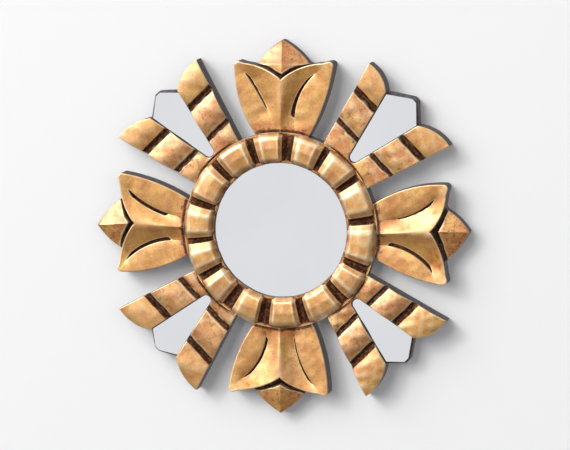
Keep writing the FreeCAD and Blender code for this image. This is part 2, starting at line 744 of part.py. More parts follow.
def make_hanger_strap():
    """Fold a steel strap round the ring's bar and drill it for the screw."""
    plate = doc.addObject("Part::Box", "strap_plate")
    plate.setExpression("Length", cell("strap_length"))
    plate.setExpression("Width", "2 * sizes.strap_half")
    plate.setExpression("Height", cell("strap_thickness"))
    plate.setExpression("Placement.Base.x", f"{HINGE_REACH} - sizes.strap_length")
    plate.setExpression("Placement.Base.y", "-sizes.strap_half")
    plate.setExpression("Placement.Base.z", "sizes.recess_depth - sizes.strap_thickness")
    barrel = doc.addObject("Part::Cylinder", "strap_barrel")
    barrel.setExpression("Radius", "sizes.wire_r + sizes.hinge_clearance + sizes.strap_thickness")
    bore = doc.addObject("Part::Cylinder", "strap_bore")
    bore.setExpression("Radius", "sizes.wire_r + sizes.hinge_clearance")
    along = FreeCAD.Rotation(FreeCAD.Vector(1, 0, 0), -90)
    for cylinder in (barrel, bore):
        cylinder.Placement = FreeCAD.Placement(FreeCAD.Vector(), along)
        cylinder.setExpression("Height", "2 * sizes.strap_half")
        cylinder.setExpression("Placement.Base.x", HINGE_REACH)
        cylinder.setExpression("Placement.Base.y", "-sizes.strap_half")
        cylinder.setExpression("Placement.Base.z", HINGE_HEIGHT)
    hole = rod("strap_hole", STRAP_SCREW_PLACE, "0", HANGER_HOLE_R, "sizes.recess_depth + sizes.overrun")
    folded = doc.addObject("Part::Fuse", "strap_folded")
    folded.Base = plate
    folded.Tool = barrel
    holes = doc.addObject("Part::MultiFuse", "strap_holes")
    holes.Shapes = [bore, hole]
    strap = doc.addObject("Part::Cut", "hanger_strap")
    strap.Base = folded
    strap.Tool = holes
    strap.Placement = facing_out(PETAL_PIECES["petal_top"]["turn"])
    return strap


def make_hanger_ring():
    """Bend the D-ring from wire: a straight bar in the strap and a bow to hang from.

    It is drawn about its hinge, and leans back a little from upright, so
    that it rests against the petal by its own weight.
    """
    body = new_body("hanger_ring")
    bend = "sizes.wire_bend_r"
    near = f"{1 - QUARTER_BEND_SHARE} * {bend}"
    side = f"(sizes.bar_half + {QUARTER_BEND_SHARE} * {bend})"
    path = [
        ("0", "sizes.bar_half"),
        (near, side, bend, BOW_R),
        (f"{bend} + {BOW_R}", "0", bend, f"-{BOW_R}"),
        (near, f"-{side}", "0", "-sizes.bar_half"),
    ]
    sketch = draw(body, "ring_path", "XY_Plane", path)
    section = draw(body, "ring_wire", "XZ_Plane", rod_outline("0", cell("wire_r"), HALF_SIDE))
    pipe = body.newObject("PartDesign::AdditivePipe", "ring_bend")
    pipe.Profile = section
    pipe.Spine = sketch
    doc.recompute()
    hinge = FreeCAD.Vector(amount(HINGE_REACH), 0, amount(HINGE_HEIGHT))
    lean = FreeCAD.Rotation(FreeCAD.Vector(0, -1, 0), amount(cell("ring_lean")))
    turn = PETAL_PIECES["petal_top"]["turn"]
    body.Placement = facing_out(turn).multiply(FreeCAD.Placement(hinge, lean))
    return body


def make_hanger_screw():
    """Make the flat headed screw that holds the strap."""
    low = "sizes.recess_depth - sizes.strap_thickness - sizes.hanger_head_height"
    screw = doc.addObject("Part::Fuse", "hanger_screw")
    length, head_height = cell("hanger_screw_length"), cell("hanger_head_height")
    screw.Base = rod("hanger_shank", STRAP_SCREW_PLACE, low, cell("hanger_screw_r"), length)
    screw.Tool = rod("hanger_head", STRAP_SCREW_PLACE, low, cell("hanger_head_r"), head_height)
    screw.Placement = facing_out(PETAL_PIECES["petal_top"]["turn"])
    return screw


# Fans

def fan_side(piece, name, sign):
    """Name the cell of a size that the two rays of a fan have each."""
    return f"sizes.{piece}_{name}_{'ccw' if sign > 0 else 'cw'}"


def fan_sizes(piece):
    """Name the cells of a fan's own sizes, and add how far out its apex is."""
    sizes_of = {name: cell(f"{piece}_{name}") for name in FAN_PIECES[piece]}
    sizes_of["apex_reach"] = f"({sizes_of['shoulder_reach']} + {sizes_of['apex_rise']})"
    return sizes_of


def make_fan(piece):
    """Saw a fan from the board, crown its two rays and sink the seat for the kite mirror."""
    body = new_body(piece)
    sizes_of = fan_sizes(piece)
    root, tip, shoulder, end_bend, apex = {}, {}, {}, {}, {}
    for sign in (1, -1):
        root_side = f"{sign} * {fan_side(piece, 'root', sign)}"
        root[sign] = (on_circle(SEAT_R, root_side), root_side)
        tip[sign] = (fan_side(piece, "tip_reach", sign), f"{sign} * {fan_side(piece, 'tip_span', sign)}")
        shoulder[sign] = (sizes_of["shoulder_reach"], f"{sign} * {fan_side(piece, 'shoulder', sign)}")
        end_bend[sign] = (tip[sign][0], f"{RAY_END_SHARE} * {tip[sign][1]}")
        apex[sign] = (sizes_of["apex_reach"], f"{sizes_of['apex_side']} + {sign} * sizes.apex_half")
    outline = [
        (SEAT_R, "0") + root[-1],
        tip[-1],
        end_bend[-1] + shoulder[-1],
        apex[-1],
        apex[1],
        shoulder[1],
        end_bend[1] + tip[1],
        root[1],
    ]
    pad(body, draw(body, piece + "_plan", "XY_Plane", outline), FAN_HEIGHT)
    crown_rays(body, piece, sizes_of)
    past = f"{sizes_of['apex_reach']} + sizes.overrun"
    inner = {sign: f"{sizes_of['lean']} + {sign} * sizes.kite_inner_half" for sign in (1, -1)}
    inner_start = f"{KITE_ROOT} + sizes.kite_inner_half"
    seat = [
        (KITE_ROOT, sizes_of["lean"], inner_start, inner[-1]),
        shoulder[-1],
        (past, shoulder[-1][1]),
        (past, shoulder[1][1]),
        shoulder[1],
        (inner_start, inner[1]),
    ]
    seat_plan = draw(body, piece + "_seat", "XY_Plane", seat, height=cell("ledge_height"))
    pocket(body, seat_plan, FAN_HEIGHT)
    add_tongue(body, "sizes.fan_tongue_half")
    body.Placement = facing_out(FAN_PIECES[piece]["turn"])
    return body


def crowned(start, end, crest):
    """Two corners of a crown that slopes up from both ends to its crest."""
    slope = f"{CROWN_SLOPE_SHARE} * ({end} - {start})"
    return [(f"{start} + {slope}", crest), (f"{end} - {slope}", crest)]


def crown_rays(body, piece, sizes_of):
    """Crown both rays in three lengths, parted by two V grooves."""
    start = "(sizes.ring_outer_r - sizes.overrun)"
    tips = [fan_side(piece, "tip_reach", sign) for sign in (1, -1)]
    end = f"(max({'; '.join([sizes_of['apex_reach']] + tips)}) + sizes.overrun)"
    top = f"{FAN_HEIGHT} + sizes.overrun"
    inner, outer = sizes_of["inner_groove"], sizes_of["outer_groove"]
    inner_near, inner_far = (f"({inner} {way} sizes.inner_groove_half)" for way in "-+")
    outer_near, outer_far = (f"({outer} {way} sizes.outer_groove_half)" for way in "-+")
    crown = [
        *crowned(start, inner_near, "sizes.fan_root_crest"),
        (inner_near, "sizes.fan_root_height"),
        (inner, "sizes.inner_groove_floor"),
        (inner_far, "sizes.fan_middle_edge_height"),
        *crowned(inner_far, outer_near, "sizes.fan_middle_crest"),
        (outer_near, "sizes.fan_middle_edge_height"),
        (outer, "sizes.outer_groove_floor"),
        (outer_far, "sizes.fan_end_edge_height"),
        *crowned(outer_far, end, "sizes.fan_end_crest"),
        (end, "sizes.fan_tip_height"),
        (end, top),
        (start, top),
        (start, "sizes.fan_root_height"),
    ]
    width = f"2 * ({fan_side(piece, 'tip_span', 1)} + {fan_side(piece, 'tip_span', -1)})"
    pocket(body, draw(body, piece + "_crown", "XZ_Plane", crown), width, both_ways=True)


def make_kite_glass(piece, label):
    """Cut the kite mirror that lies on a fan's ledge."""
    body = new_body(label)
    sizes_of = fan_sizes(piece)
    inner_start = f"({KITE_ROOT} + sizes.kite_inner_half)"
    shoulder_reach = f"{sizes_of['shoulder_reach']} - sizes.kite_rim"
    apex_reach = f"{sizes_of['apex_reach']} - sizes.kite_rim"
    inner, shoulder, apex = {}, {}, {}
    for sign in (1, -1):
        half = "(sizes.kite_inner_half - 2 * sizes.kite_clearance)"
        inner[sign] = (inner_start, f"{sizes_of['lean']} + {sign} * {half}")
        seat_v = f"{sign} * {fan_side(piece, 'shoulder', sign)}"
        seat_width = f"({seat_v} - {sizes_of['lean']} - {sign} * sizes.kite_inner_half)"
        narrowing = f"{seat_width} * sizes.kite_rim / ({sizes_of['shoulder_reach']} - {inner_start})"
        shoulder[sign] = (shoulder_reach, f"{seat_v} - {narrowing} - {2 * sign} * sizes.kite_clearance")
        apex[sign] = (apex_reach, f"{sizes_of['apex_side']} + {sign} * sizes.apex_half")
    inner_end = f"{KITE_ROOT} + 2 * sizes.kite_clearance"
    outline = [
        (inner_end, sizes_of["lean"]) + inner[-1],
        shoulder[-1],
        apex[-1],
        apex[1],
        shoulder[1],
        inner[1],
    ]
    plan = draw(body, label + "_plan", "XY_Plane", outline, height=cell("ledge_height"))
    pad(body, plan, cell("kite_thickness"))
    body.Placement = facing_out(FAN_PIECES[piece]["turn"])
    return body


# Assembly

parts = [make_ring()]
for petal_name in PETAL_PIECES:
    parts.append(make_petal(petal_name))
for fan_name in FAN_PIECES:
    parts.append(make_fan(fan_name))
    parts.append(make_kite_glass(fan_name, fan_name.replace("ray_fan", "kite_glass")))
packing = f"{GLASS_BACK} - sizes.board_thickness"
parts.append(make_disc("round_glass", cell("glass_r"), cell("glass_thickness"), GLASS_BACK))
parts.append(make_disc("packing_disc", cell("glass_r"), packing, cell("board_thickness")))
parts.append(make_back_board())
parts.append(make_fixings("back_board_nails", NAIL_COUNT, cell("nail_place_r"), NAIL))
parts.append(make_fixings("tongue_screws", TONGUE_COUNT, SCREW_PLACE, SCREW))
parts.append(make_hanger_strap())
parts.append(make_hanger_ring())
parts.append(make_hanger_screw())
doc.recompute()

for item in doc.Objects:
    if "Invalid" in item.State or "Error" in item.State:
        raise RuntimeError(f"{item.Name} did not build: {item.State}")
for part in parts:
    if part.Shape.isNull() or not part.Shape.isValid():
        raise RuntimeError(f"{part.Label} has no valid shape")

os.makedirs("parts", exist_ok=True)
for part in parts:
    part.Shape.exportStep(f"parts/{part.Label}.step")
    print(part.Label, len(part.Shape.Solids), "solids", round(part.Shape.Volume), "mm3")
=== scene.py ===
"""Dress the sunburst mirror: carved, gilded wood round a mirror, hung on a pale wall.

Lengths are millimetres while a shape is worked out, and metres in its mesh.
A carved piece is worked out in its own plane: u runs outwards from the ring's
axis, v to its anticlockwise side, and h away from the wall.
"""
import logging
import math
from dataclasses import dataclass
from enum import Enum, IntEnum
from typing import Callable, Dict, List, Optional, Sequence, Tuple

import bpy
import numpy as np
from mathutils import Matrix, Vector


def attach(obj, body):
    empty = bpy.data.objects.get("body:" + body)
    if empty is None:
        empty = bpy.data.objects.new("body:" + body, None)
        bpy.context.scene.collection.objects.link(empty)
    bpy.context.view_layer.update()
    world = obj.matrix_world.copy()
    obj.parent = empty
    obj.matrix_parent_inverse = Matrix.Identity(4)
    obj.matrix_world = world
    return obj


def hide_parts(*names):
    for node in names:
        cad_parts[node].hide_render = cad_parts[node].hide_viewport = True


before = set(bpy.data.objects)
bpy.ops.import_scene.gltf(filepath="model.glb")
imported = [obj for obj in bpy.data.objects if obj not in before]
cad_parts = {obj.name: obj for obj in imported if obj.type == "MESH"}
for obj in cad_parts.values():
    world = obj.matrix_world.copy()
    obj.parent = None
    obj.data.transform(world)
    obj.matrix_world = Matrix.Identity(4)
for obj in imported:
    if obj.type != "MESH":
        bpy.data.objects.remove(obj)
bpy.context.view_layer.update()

log = logging.getLogger("sunburst_mirror")

Array = np.ndarray
Point = Tuple[float, float]
Span = Tuple[float, float]
Gate = Tuple[float, float, float, float]
Triple = Tuple[float, float, float]
Points = Tuple[Point, ...]
Place = Triple
Colour = Triple
Object = bpy.types.Object
Socket = bpy.types.NodeSocket
Marks = Callable[[Array], Tuple[Array, Array]]

MILLIMETRE = 0.001
IMAGE_SIZE = (570, 450)
HALF_TURN = math.pi
FULL_TURN = math.tau


class Side(IntEnum):
    """The two sides of a petal or fan, seen from the front."""

    CCW = 1
    CW = -1


class Surface(IntEnum):
    """Which finish a face of a carved piece has."""

    LEAF = 0
    PAINT = 1
    BARE = 2


class Slot(Enum):
    """Material slots of the record."""

    GILDED = "gilded_wood"
    MIRROR = "mirror_glass"
    BOARD = "hardboard"
    CARD = "grey_card"
    FIXING = "fixing_steel"
    HANGER = "hanger_steel"


class Cut(Enum):
    """What is done with one solid to another."""

    JOIN = "UNION"
    TAKE_AWAY = "DIFFERENCE"


# Sizes that the carved pieces share, as in the solids

RING_R = 78.0
SEAT_R = 78.15
TONGUE_LENGTH = 12.0
TONGUE_TOP = 6.85
SOCKET_DEPTH = 7.0
SOCKET_GAP = 0.15
PETAL_TONGUE_HALF = 14.0
FAN_TONGUE_HALF = 17.0
SCREW_PLACE = 72.0

# A cutter reaches this far past the face that it opens
OVERRUN = 2.0

# Rows of faces in a carved piece's walls
WALL_ROWS = 6

# Edges of metal pieces that turn by more than this stay sharp, in degrees
METAL_CREASE = 30.0

# Faces across the zone beside an edge, where they lie closer together
EDGE_STEPS = 8

# Waves that make up the unevenness of hand carving, and how long they are
WAVE_COUNT = 7
WAVE_LENGTHS = (7, 24)


# Curves in a plane

def arc_points(start: Point, bend: Point, end: Point, count: int = 48) -> Array:
    """Points along the circle through three points.

    The centre is equally far from all three, and the angle runs evenly from
    start to end, the way round that passes the bend.

    Args:
        start: First point.
        bend: A point between.
        end: Last point.
        count: How many points.

    Returns:
        Points as rows of u and v.
    """
    (ax, ay), (bx, by), (cx, cy) = start, bend, end
    twice_area = 2 * (ax * (by - cy) + bx * (cy - ay) + cx * (ay - by))
    a_sq, b_sq, c_sq = ax * ax + ay * ay, bx * bx + by * by, cx * cx + cy * cy
    ox = (a_sq * (by - cy) + b_sq * (cy - ay) + c_sq * (ay - by)) / twice_area
    oy = (a_sq * (cx - bx) + b_sq * (ax - cx) + c_sq * (bx - ax)) / twice_area
    turns = [math.atan2(y - oy, x - ox) for x, y in (start, bend, end)]
    sweep = (turns[2] - turns[0]) % FULL_TURN
    if (turns[1] - turns[0]) % FULL_TURN > sweep:
        sweep -= FULL_TURN
    angle = turns[0] + sweep * np.linspace(0, 1, count)
    radius = math.hypot(ax - ox, ay - oy)
    return np.stack([ox + radius * np.cos(angle), oy + radius * np.sin(angle)], -1)


def joined(*paths: Array) -> Array:
    """Run paths together, each from where the one before ended."""
    later = [np.asarray(path, float)[1:] for path in paths[1:]]
    return np.concatenate([np.asarray(paths[0], float)] + later)


def along(path: Array, shares: Array) -> Array:
    """Find the points at shares of a path's length, straight between its own points.

    Args:
        path: The path's points.
        shares: Shares from 0 to 1.

    Returns:
        A point for each share.
    """
    path = np.asarray(path, float)
    run = np.concatenate([[0], np.cumsum(np.linalg.norm(np.diff(path, axis=0), axis=1))])
    return np.stack([np.interp(shares * run[-1], run, column) for column in path.T], -1)


def distance_to(points: Array, path: Array) -> Array:
    """Distance from each point to the nearest place on a path of straight runs.

    The foot on a run is its start plus the run times the share, kept within
    0 and 1, that the dot product gives.

    Args:
        points: Points in the plane, in an array of any shape.
        path: The path's corners.

    Returns:
        Distances, in the shape of the points.
    """
    flat = points.reshape(-1, 2)
    tiny = 1e-9
    nearest = np.full(len(flat), np.inf)
    for first, step in zip(path[:-1], np.diff(path, axis=0)):
        gap = flat - first
        share = np.clip(gap @ step / max(step @ step, tiny), 0, 1)
        nearest = np.minimum(nearest, np.hypot(*(gap - share[:, None] * step).T))
    return nearest.reshape(points.shape[:-1])


def eased(x: Array, low: float, high: float) -> Array:
    """Rise from 0 at low to 1 at high along the cubic 3 t^2 - 2 t^3."""
    t = np.clip((x - low) / (high - low), 0, 1)
    return t * t * (3 - 2 * t)


def gated(x: Array, gate: Gate) -> Array:
    """Rise eased between the gate's first two values, and fall between its last two."""
    return eased(x, *gate[:2]) * (1 - eased(x, *gate[2:]))


def turned_within(angle: Array) -> Array:
    """Bring angles to within half a turn of zero."""
    return (angle + HALF_TURN) % FULL_TURN - HALF_TURN


def crowded(count: int, width: float, edge: float, both: bool = True) -> Array:
    """Divide a length from 0 to 1 with its shares closer together near the ends.

    In an edge zone the shares go as 1 - cos of an even angle.

    Args:
        count: How many shares between the edge zones.
        width: Real length that the shares divide.
        edge: Real width of an edge zone.
        both: Whether the low end has an edge zone too.

    Returns:
        Shares in rising order, with both ends.
    """
    zone = edge / width * (1 - np.cos(np.linspace(0, HALF_TURN / 2, EDGE_STEPS)))
    low = zone if both else np.zeros(1)
    middle = np.linspace(low[-1], 1 - zone[-1], count)
    return np.concatenate([low[:-1], middle, (1 - zone[::-1])[1:]])


def stepped(*stops: Tuple[float, int]) -> Array:
    """Run evenly from stop to stop, in as many values as each is paired with."""
    pairs = zip(stops, stops[1:])
    return np.concatenate([np.linspace(a, b, count + 1)[1:] for (a, _), (b, count) in pairs])


def coons(near: Array, far: Array, low: Array, high: Array, s: Array, t: Array) -> Array:
    """Fill a four-sided patch: blend both pairs of sides and take the corners off once.

    Args:
        near: Side where t is 0, a point for each s.
        far: Side where t is 1, a point for each s.
        low: Side where s is 0, as a path.
        high: Side where s is 1, as a path.
        s: Shares along the patch, one for each row.
        t: Shares across it, of one row or of every row.

    Returns:
        Grid of points.
    """
    s = s[:, None, None]
    t = np.broadcast_to(t, (len(s), t.shape[-1]))
    bottom, top = (along(side, t.reshape(-1)).reshape(t.shape + (2,)) for side in (low, high))
    t = t[:, :, None]
    across = (1 - t) * near[:, None] + t * far[:, None]
    lengthways = (1 - s) * bottom + s * top
    low_end, high_end = ((1 - t) * side[0] + t * side[-1] for side in (low, high))
    return across + lengthways - ((1 - s) * low_end + s * high_end)


def rolled(distance: Array, radius: float) -> Array:
    """How far a rounded edge has dropped: a quarter circle of the radius, gone at the radius."""
    inside = radius - np.minimum(distance, radius)
    return radius - np.sqrt(np.maximum(radius ** 2 - inside ** 2, 0))


def knife_waver(u: Array, v: Array, seed: int, depth: float) -> Array:
    """Work out the unevenness of hand carving, a sum of slow waves in seeded directions.

    Args:
        u: Places along one direction.
        v: Places along the other.
        seed: Start of the random draws.
        depth: What the sum is scaled to.

    Returns:
        Unevenness at each place.
    """
    draw = np.random.default_rng(seed)
    waver = np.zeros_like(u)
    for _ in range(WAVE_COUNT):
        turn, length = draw.uniform(0, FULL_TURN), draw.uniform(*WAVE_LENGTHS)
        phase = draw.uniform(0, FULL_TURN)
        run = u * math.cos(turn) + v * math.sin(turn)
        waver += np.sin(FULL_TURN * run / length + phase)
    return depth * waver / (WAVE_COUNT / 2)


def plank(start: float, end: float, half: float) -> Array:
    """Outline of a straight strip that runs outwards, anticlockwise."""
    return np.array([(start, -half), (end, -half), (end, half), (start, half)])


def spun(u: Array, v: Array, angle: float) -> Tuple[Array, Array]:
    """Turn points of a plane about its origin: u cos - v sin, and u sin + v cos."""
    return (u * math.cos(angle) - v * math.sin(angle),
            u * math.sin(angle) + v * math.cos(angle))


def in_world(points: Array, turn: float) -> Array:
    """Stand points of u, v and h on the wall, with u turned from +X towards +Z, in metres."""
    x, z = spun(points[:, 0], points[:, 1], math.radians(turn))
    return np.stack([x, -points[:, 2], z], -1) * MILLIMETRE


def from_world(points: Array, turn: float) -> Array:
    """Undo in_world for points that are in millimetres."""
    u, v = spun(points[:, 0], points[:, 2], -math.radians(turn))
    return np.stack([u, v, -points[:, 1]], -1)


# Meshes

@dataclass
class Skin:
    """Points and faces of a closed surface, with the finish of each face."""

    points: Array
    faces: List[Sequence[int]]
    finishes: List[int]

    def joined_to(self, other: "Skin") -> "Skin":
        """Take both surfaces as one, without a seam between them.

        Args:
            other: The other surface.

        Returns:
            The surface of both.
        """
        shift = len(self.points)
        moved = [tuple(index + shift for index in face) for face in other.faces]
        points = np.concatenate([self.points, other.points])
        return Skin(points, list(self.faces) + moved, self.finishes + other.finishes)


def grid_faces(rows: int, columns: int, wrap_rows: bool = False,
               wrap_columns: bool = False) -> Array:
    """Make the quads of a grid of points, so that rows across columns point outwards.

    Args:
        rows: Rows of points.
        columns: Points in a row.
        wrap_rows: Whether the last row joins the first.
        wrap_columns: Whether the last column joins the first.

    Returns:
        Four numbers of points for each quad.
    """
    row = np.arange(rows if wrap_rows else rows - 1)
    column = np.arange(columns if wrap_columns else columns - 1)
    row, column = (side.ravel() for side in np.meshgrid(row, column, indexing="ij"))
    next_row, next_column = (row + 1) % rows, (column + 1) % columns
    corners = (row * columns + column, next_row * columns + column,
               next_row * columns + next_column, row * columns + next_column)
    return np.stack(corners, -1)


def block_skin(plan: Array, heights: Array, floor: float) -> Skin:
    """Close a grid of points into a block with upright walls and a flat back.

    The rim of the grid goes straight down in even rows to the floor height,
    and one flat face closes it there. The grid is leaf, the walls are paint.

    Args:
        plan: Grid of points in the plane, its rows running outwards and its
            columns anticlockwise.
        heights: Their heights.
        floor: Height of the back.

    Returns:
        The closed surface.
    """
    n, m = heights.shape
    index = np.arange(n * m).reshape(n, m)
    rim = np.concatenate([index[:-1, 0], index[-1, :-1], index[:0:-1, -1], index[0, :0:-1]])
    points = np.concatenate([plan, heights[..., None]], -1).reshape(-1, 3)
    rings, walls = [rim], [points]
    for step in range(1, WALL_ROWS + 1):
        ring = points[rim].copy()
        ring[:, 2] += (floor - ring[:, 2]) * step / WALL_ROWS
        walls.append(ring)
        rings.append(n * m + (step - 1) * len(rim) + np.arange(len(rim)))
    faces = grid_faces(n, m).tolist()
    finishes = [int(Surface.LEAF)] * len(faces)
    for upper, lower in zip(rings, rings[1:]):
        faces += np.stack([upper, lower, np.roll(lower, -1), np.roll(upper, -1)], -1).tolist()
        finishes += [int(Surface.PAINT)] * len(rim)
    faces.append(rings[-1][::-1].tolist())
    finishes.append(int(Surface.BARE))
    return Skin(np.concatenate(walls), faces, finishes)


def slab_skin(outline: Array, low: float, high: float, finish: Surface) -> Skin:
    """Raise a flat outline from one height to another.

    Args:
        outline: Corners of u and v, anticlockwise.
        low: Height of the back, which stays bare.
        high: Height of the top.
        finish: Finish of the top and the walls.

    Returns:
        The closed surface.
    """
    count = len(outline)
    lower, upper = (np.column_stack([outline, np.full(count, height)]) for height in (low, high))
    here = np.arange(count)
    after = np.roll(here, -1)
    walls = np.stack([here + count, here, after, after + count], -1).tolist()
    faces = [(here + count).tolist(), here[::-1].tolist()] + walls
    finishes = [int(finish), int(Surface.BARE)] + [int(finish)] * count
    return Skin(np.concatenate([lower, upper]), faces, finishes)


def turned_skin(profile: Sequence[Point], reach: float, count: int = 24,
                finish: Surface = Surface.LEAF) -> Skin:
    """Turn a profile about an upright axis: each radius times the cosine and sine of the angle.

    Args:
        profile: Radius and height from the axis at the bottom to the axis at
            the top.
        reach: How far outwards the axis stands.
        count: How many faces go round.
        finish: Finish of every face.

    Returns:
        The closed surface.
    """
    profile = np.asarray(profile, float)
    angle = np.linspace(0, FULL_TURN, count, endpoint=False)
    radius, height = profile[1:-1, 0], profile[1:-1, 1]
    u = reach + radius[:, None] * np.cos(angle)
    v = radius[:, None] * np.sin(angle)
    h = np.broadcast_to(height[:, None], u.shape)
    points = np.stack([u, v, h], -1).reshape(-1, 3)
    poles = np.array([[reach, 0, profile[end, 1]] for end in (0, -1)])
    faces = grid_faces(len(radius), count, wrap_columns=True).tolist()
    here, last = np.arange(count), (len(radius) - 1) * count
    after = np.roll(here, -1)
    near_pole, far_pole = (np.full(count, len(points) + end) for end in (0, 1))
    faces += np.stack([after, near_pole, here], -1).tolist()
    faces += np.stack([here + last, far_pole, after + last], -1).tolist()
    return Skin(np.concatenate([points, poles]), faces, [int(finish)] * len(faces))


def swept_skin(path: Array, side: Array, section: Array, closed: bool) -> Skin:
    """Carry a section along a path: the path plus the section's parts along side and across.

    Args:
        path: Points of the path.
        side: Direction of the section's first part.
        section: Outline of the section.
        closed: Whether the path's ends meet.

    Returns:
        The closed surface.
    """
    step = np.roll(path, -1, 0) - np.roll(path, 1, 0) if closed else np.gradient(path, axis=0)
    step /= np.linalg.norm(step, axis=1, keepdims=True)
    side = np.broadcast_to(side, path.shape)
    across = np.cross(step, side)
    points = (path[:, None] + section[None, :, :1] * side[:, None]
              + section[None, :, 1:] * across[:, None])
    rows, columns = points.shape[:2]
    faces = grid_faces(rows, columns, wrap_rows=closed, wrap_columns=True).tolist()
    if not closed:
        ring = np.arange(columns)
        faces += [ring.tolist(), (ring[::-1] + (rows - 1) * columns).tolist()]
    return Skin(points.reshape(-1, 3), faces, [int(Surface.LEAF)] * len(faces))


def mesh_array(items: bpy.types.bpy_prop_collection, part: str, width: int,
               kind: type = float) -> Array:
    """Read one part of all of a mesh's points, edges or triangles.

    Args:
        items: The points, edges or triangles.
        part: Name of the part.
        width: How many numbers it has.
        kind: Kind of number.

    Returns:
        A row for each item.
    """
    flat = np.empty(len(items) * width, kind)
    items.foreach_get(part, flat)
    return flat.reshape(-1, width)


def signed_volume(mesh: bpy.types.Mesh) -> float:
    """Measure the volume that a closed mesh holds, negative if it is inside out.

    It is a sixth of the sum, over the triangles, of a . (b x c).

    Args:
        mesh: The mesh.

    Returns:
        Volume in cubic metres.
    """
    mesh.calc_loop_triangles()
    corners = mesh_array(mesh.loop_triangles, "vertices", 3, np.int32)
    a, b, c = mesh_array(mesh.vertices, "co", 3)[corners].transpose(1, 0, 2)
    return float(np.einsum("ij,ij->i", a, np.cross(b, c)).sum() / 6)


def new_object(name: str, skin: Skin, turn: float = 0.0) -> Object:
    """Make an object of a surface, faces outwards, with its place in its mesh.

    It has an empty place for each finish, so that cutting and joining keep
    which face has which.

    Args:
        name: Name of the object.
        skin: The surface, in its own plane.
        turn: Angle of the plane's u from +X towards +Z, in degrees.

    Returns:
        The object.
    """
    mesh = bpy.data.meshes.new(name)
    for surface in Surface:
        known = bpy.data.materials.get(surface.name)
        mesh.materials.append(known or bpy.data.materials.new(surface.name))
    mesh.from_pydata(in_world(skin.points, turn), [], skin.faces)
    mesh.polygons.foreach_set("material_index", np.array(skin.finishes, np.int32))
    mesh.update()
    if signed_volume(mesh) < 0:
        mesh.flip_normals()
    made = bpy.data.objects.new(name, mesh)
    bpy.context.scene.collection.objects.link(made)
    return made


def removed(made: Object) -> None:
    """Remove an object and its mesh.

    Args:
        made: The object.
    """
    mesh = made.data
    bpy.data.objects.remove(made)
    bpy.data.meshes.remove(mesh)


def combined(target: Object, others: Sequence[Object], cut: Cut) -> None:
    """Join other solids to a target, or cut them out of it, and remove them.

    Args:
        target: Solid that is kept.
        others: Solids that are used up.
        cut: What is done with them.
    """
    for other in others:
        modifier = target.modifiers.new("shape", "BOOLEAN")
        modifier.operation = cut.value
        modifier.solver = "MANIFOLD"
        modifier.object = other
        graph = bpy.context.evaluated_depsgraph_get()
        mesh = bpy.data.meshes.new_from_object(target.evaluated_get(graph), depsgraph=graph)
        target.modifiers.remove(modifier)
        if not len(mesh.polygons):
            raise RuntimeError(f"{cut.name} left nothing of {target.name}")
        old, target.data = target.data, mesh
        mesh.name = target.name
        bpy.data.meshes.remove(old)
        removed(other)


@dataclass(frozen=True)
class Wear:
    """How wear, patina, painted shade and a painted highlight are read from a carved shape.

    A point's hollowness is how far its neighbours' average lies in front of
    it, along its normal, in millimetres; it is taken over a short and a long
    reach, in rounds of averaging.
    """

    near_rounds: int = 6
    wide_rounds: int = 40
    near_depth: float = 0.10
    wide_depth: float = 0.55
    crest_height: float = 0.09
    share: float = 0.6

    @staticmethod
    def smoothed(values: Array, pairs: Array, rounds: int) -> Array:
        """Move each point halfway to its neighbours' average, several times.

        Args:
            values: Points.
            pairs: Numbers of the points that each edge joins.
            rounds: How many times.

        Returns:
            The moved points.
        """
        count = len(values)
        degree = np.bincount(pairs.ravel(), minlength=count)[:, None].clip(1)
        for _ in range(rounds):
            total = np.zeros_like(values)
            for axis in range(values.shape[1]):
                total[:, axis] = np.bincount(pairs[:, 0], values[pairs[:, 1], axis], count)
                total[:, axis] += np.bincount(pairs[:, 1], values[pairs[:, 0], axis], count)
            values = 0.5 * values + 0.5 * total / degree
        return values

    def write(self, made: Object, marks: Marks, turn: float) -> None:
        """Write where patina, painted shade and a painted highlight go, and how the board lay.

        Args:
            made: Object to write to.
            marks: Tells how far points lie inside a carved cut, and how aged they are.
            turn: Angle of the board's grain, in degrees.
        """
        mesh = made.data
        points = mesh_array(mesh.vertices, "co", 3) / MILLIMETRE
        normals = mesh_array(mesh.vertices, "normal", 3)
        pairs = mesh_array(mesh.edges, "vertices", 2, np.int64)
        near = self.smoothed(points, pairs, self.near_rounds)
        wide = self.smoothed(near, pairs, self.wide_rounds)
        fine, broad = (np.einsum("ij,ij->i", average - points, normals) for average in (near, wide))
        hollow = (np.clip(fine / self.near_depth, 0, 1) * self.share
                  + np.clip(broad / self.wide_depth, 0, 1) * self.share)
        crest = np.clip(-fine / self.crest_height, 0, 1)
        cut, age = marks(points)
        read = {"hollow": hollow.clip(0, 1), "crest": crest, "cut": cut, "age": age}
        for name, values in read.items():
            attribute = mesh.attributes.new(name, "FLOAT", "POINT")
            attribute.data.foreach_set("value", values.astype(np.float32))
        board = mesh.attributes.new("board", "FLOAT_VECTOR", "POINT")
        lay = from_world(points, turn) * MILLIMETRE
        board.data.foreach_set("vector", lay.astype(np.float32).ravel())


def shade(made: Object, crease: float = 35.0) -> None:
    """Shade a mesh smoothly, with edges sharper than the crease angle kept."""
    made.data.shade_smooth()
    made.data.set_sharp_from_angle(angle=math.radians(crease))


# Finishes

@dataclass(frozen=True)
class Speckle:
    """A noise and the range of it that shows: it rises from least at low to most at high."""

    scale: float
    low: float
    high: float
    detail: float = 4.0
    roughness: float = 0.55
    least: float = 0.0
    most: float = 1.0


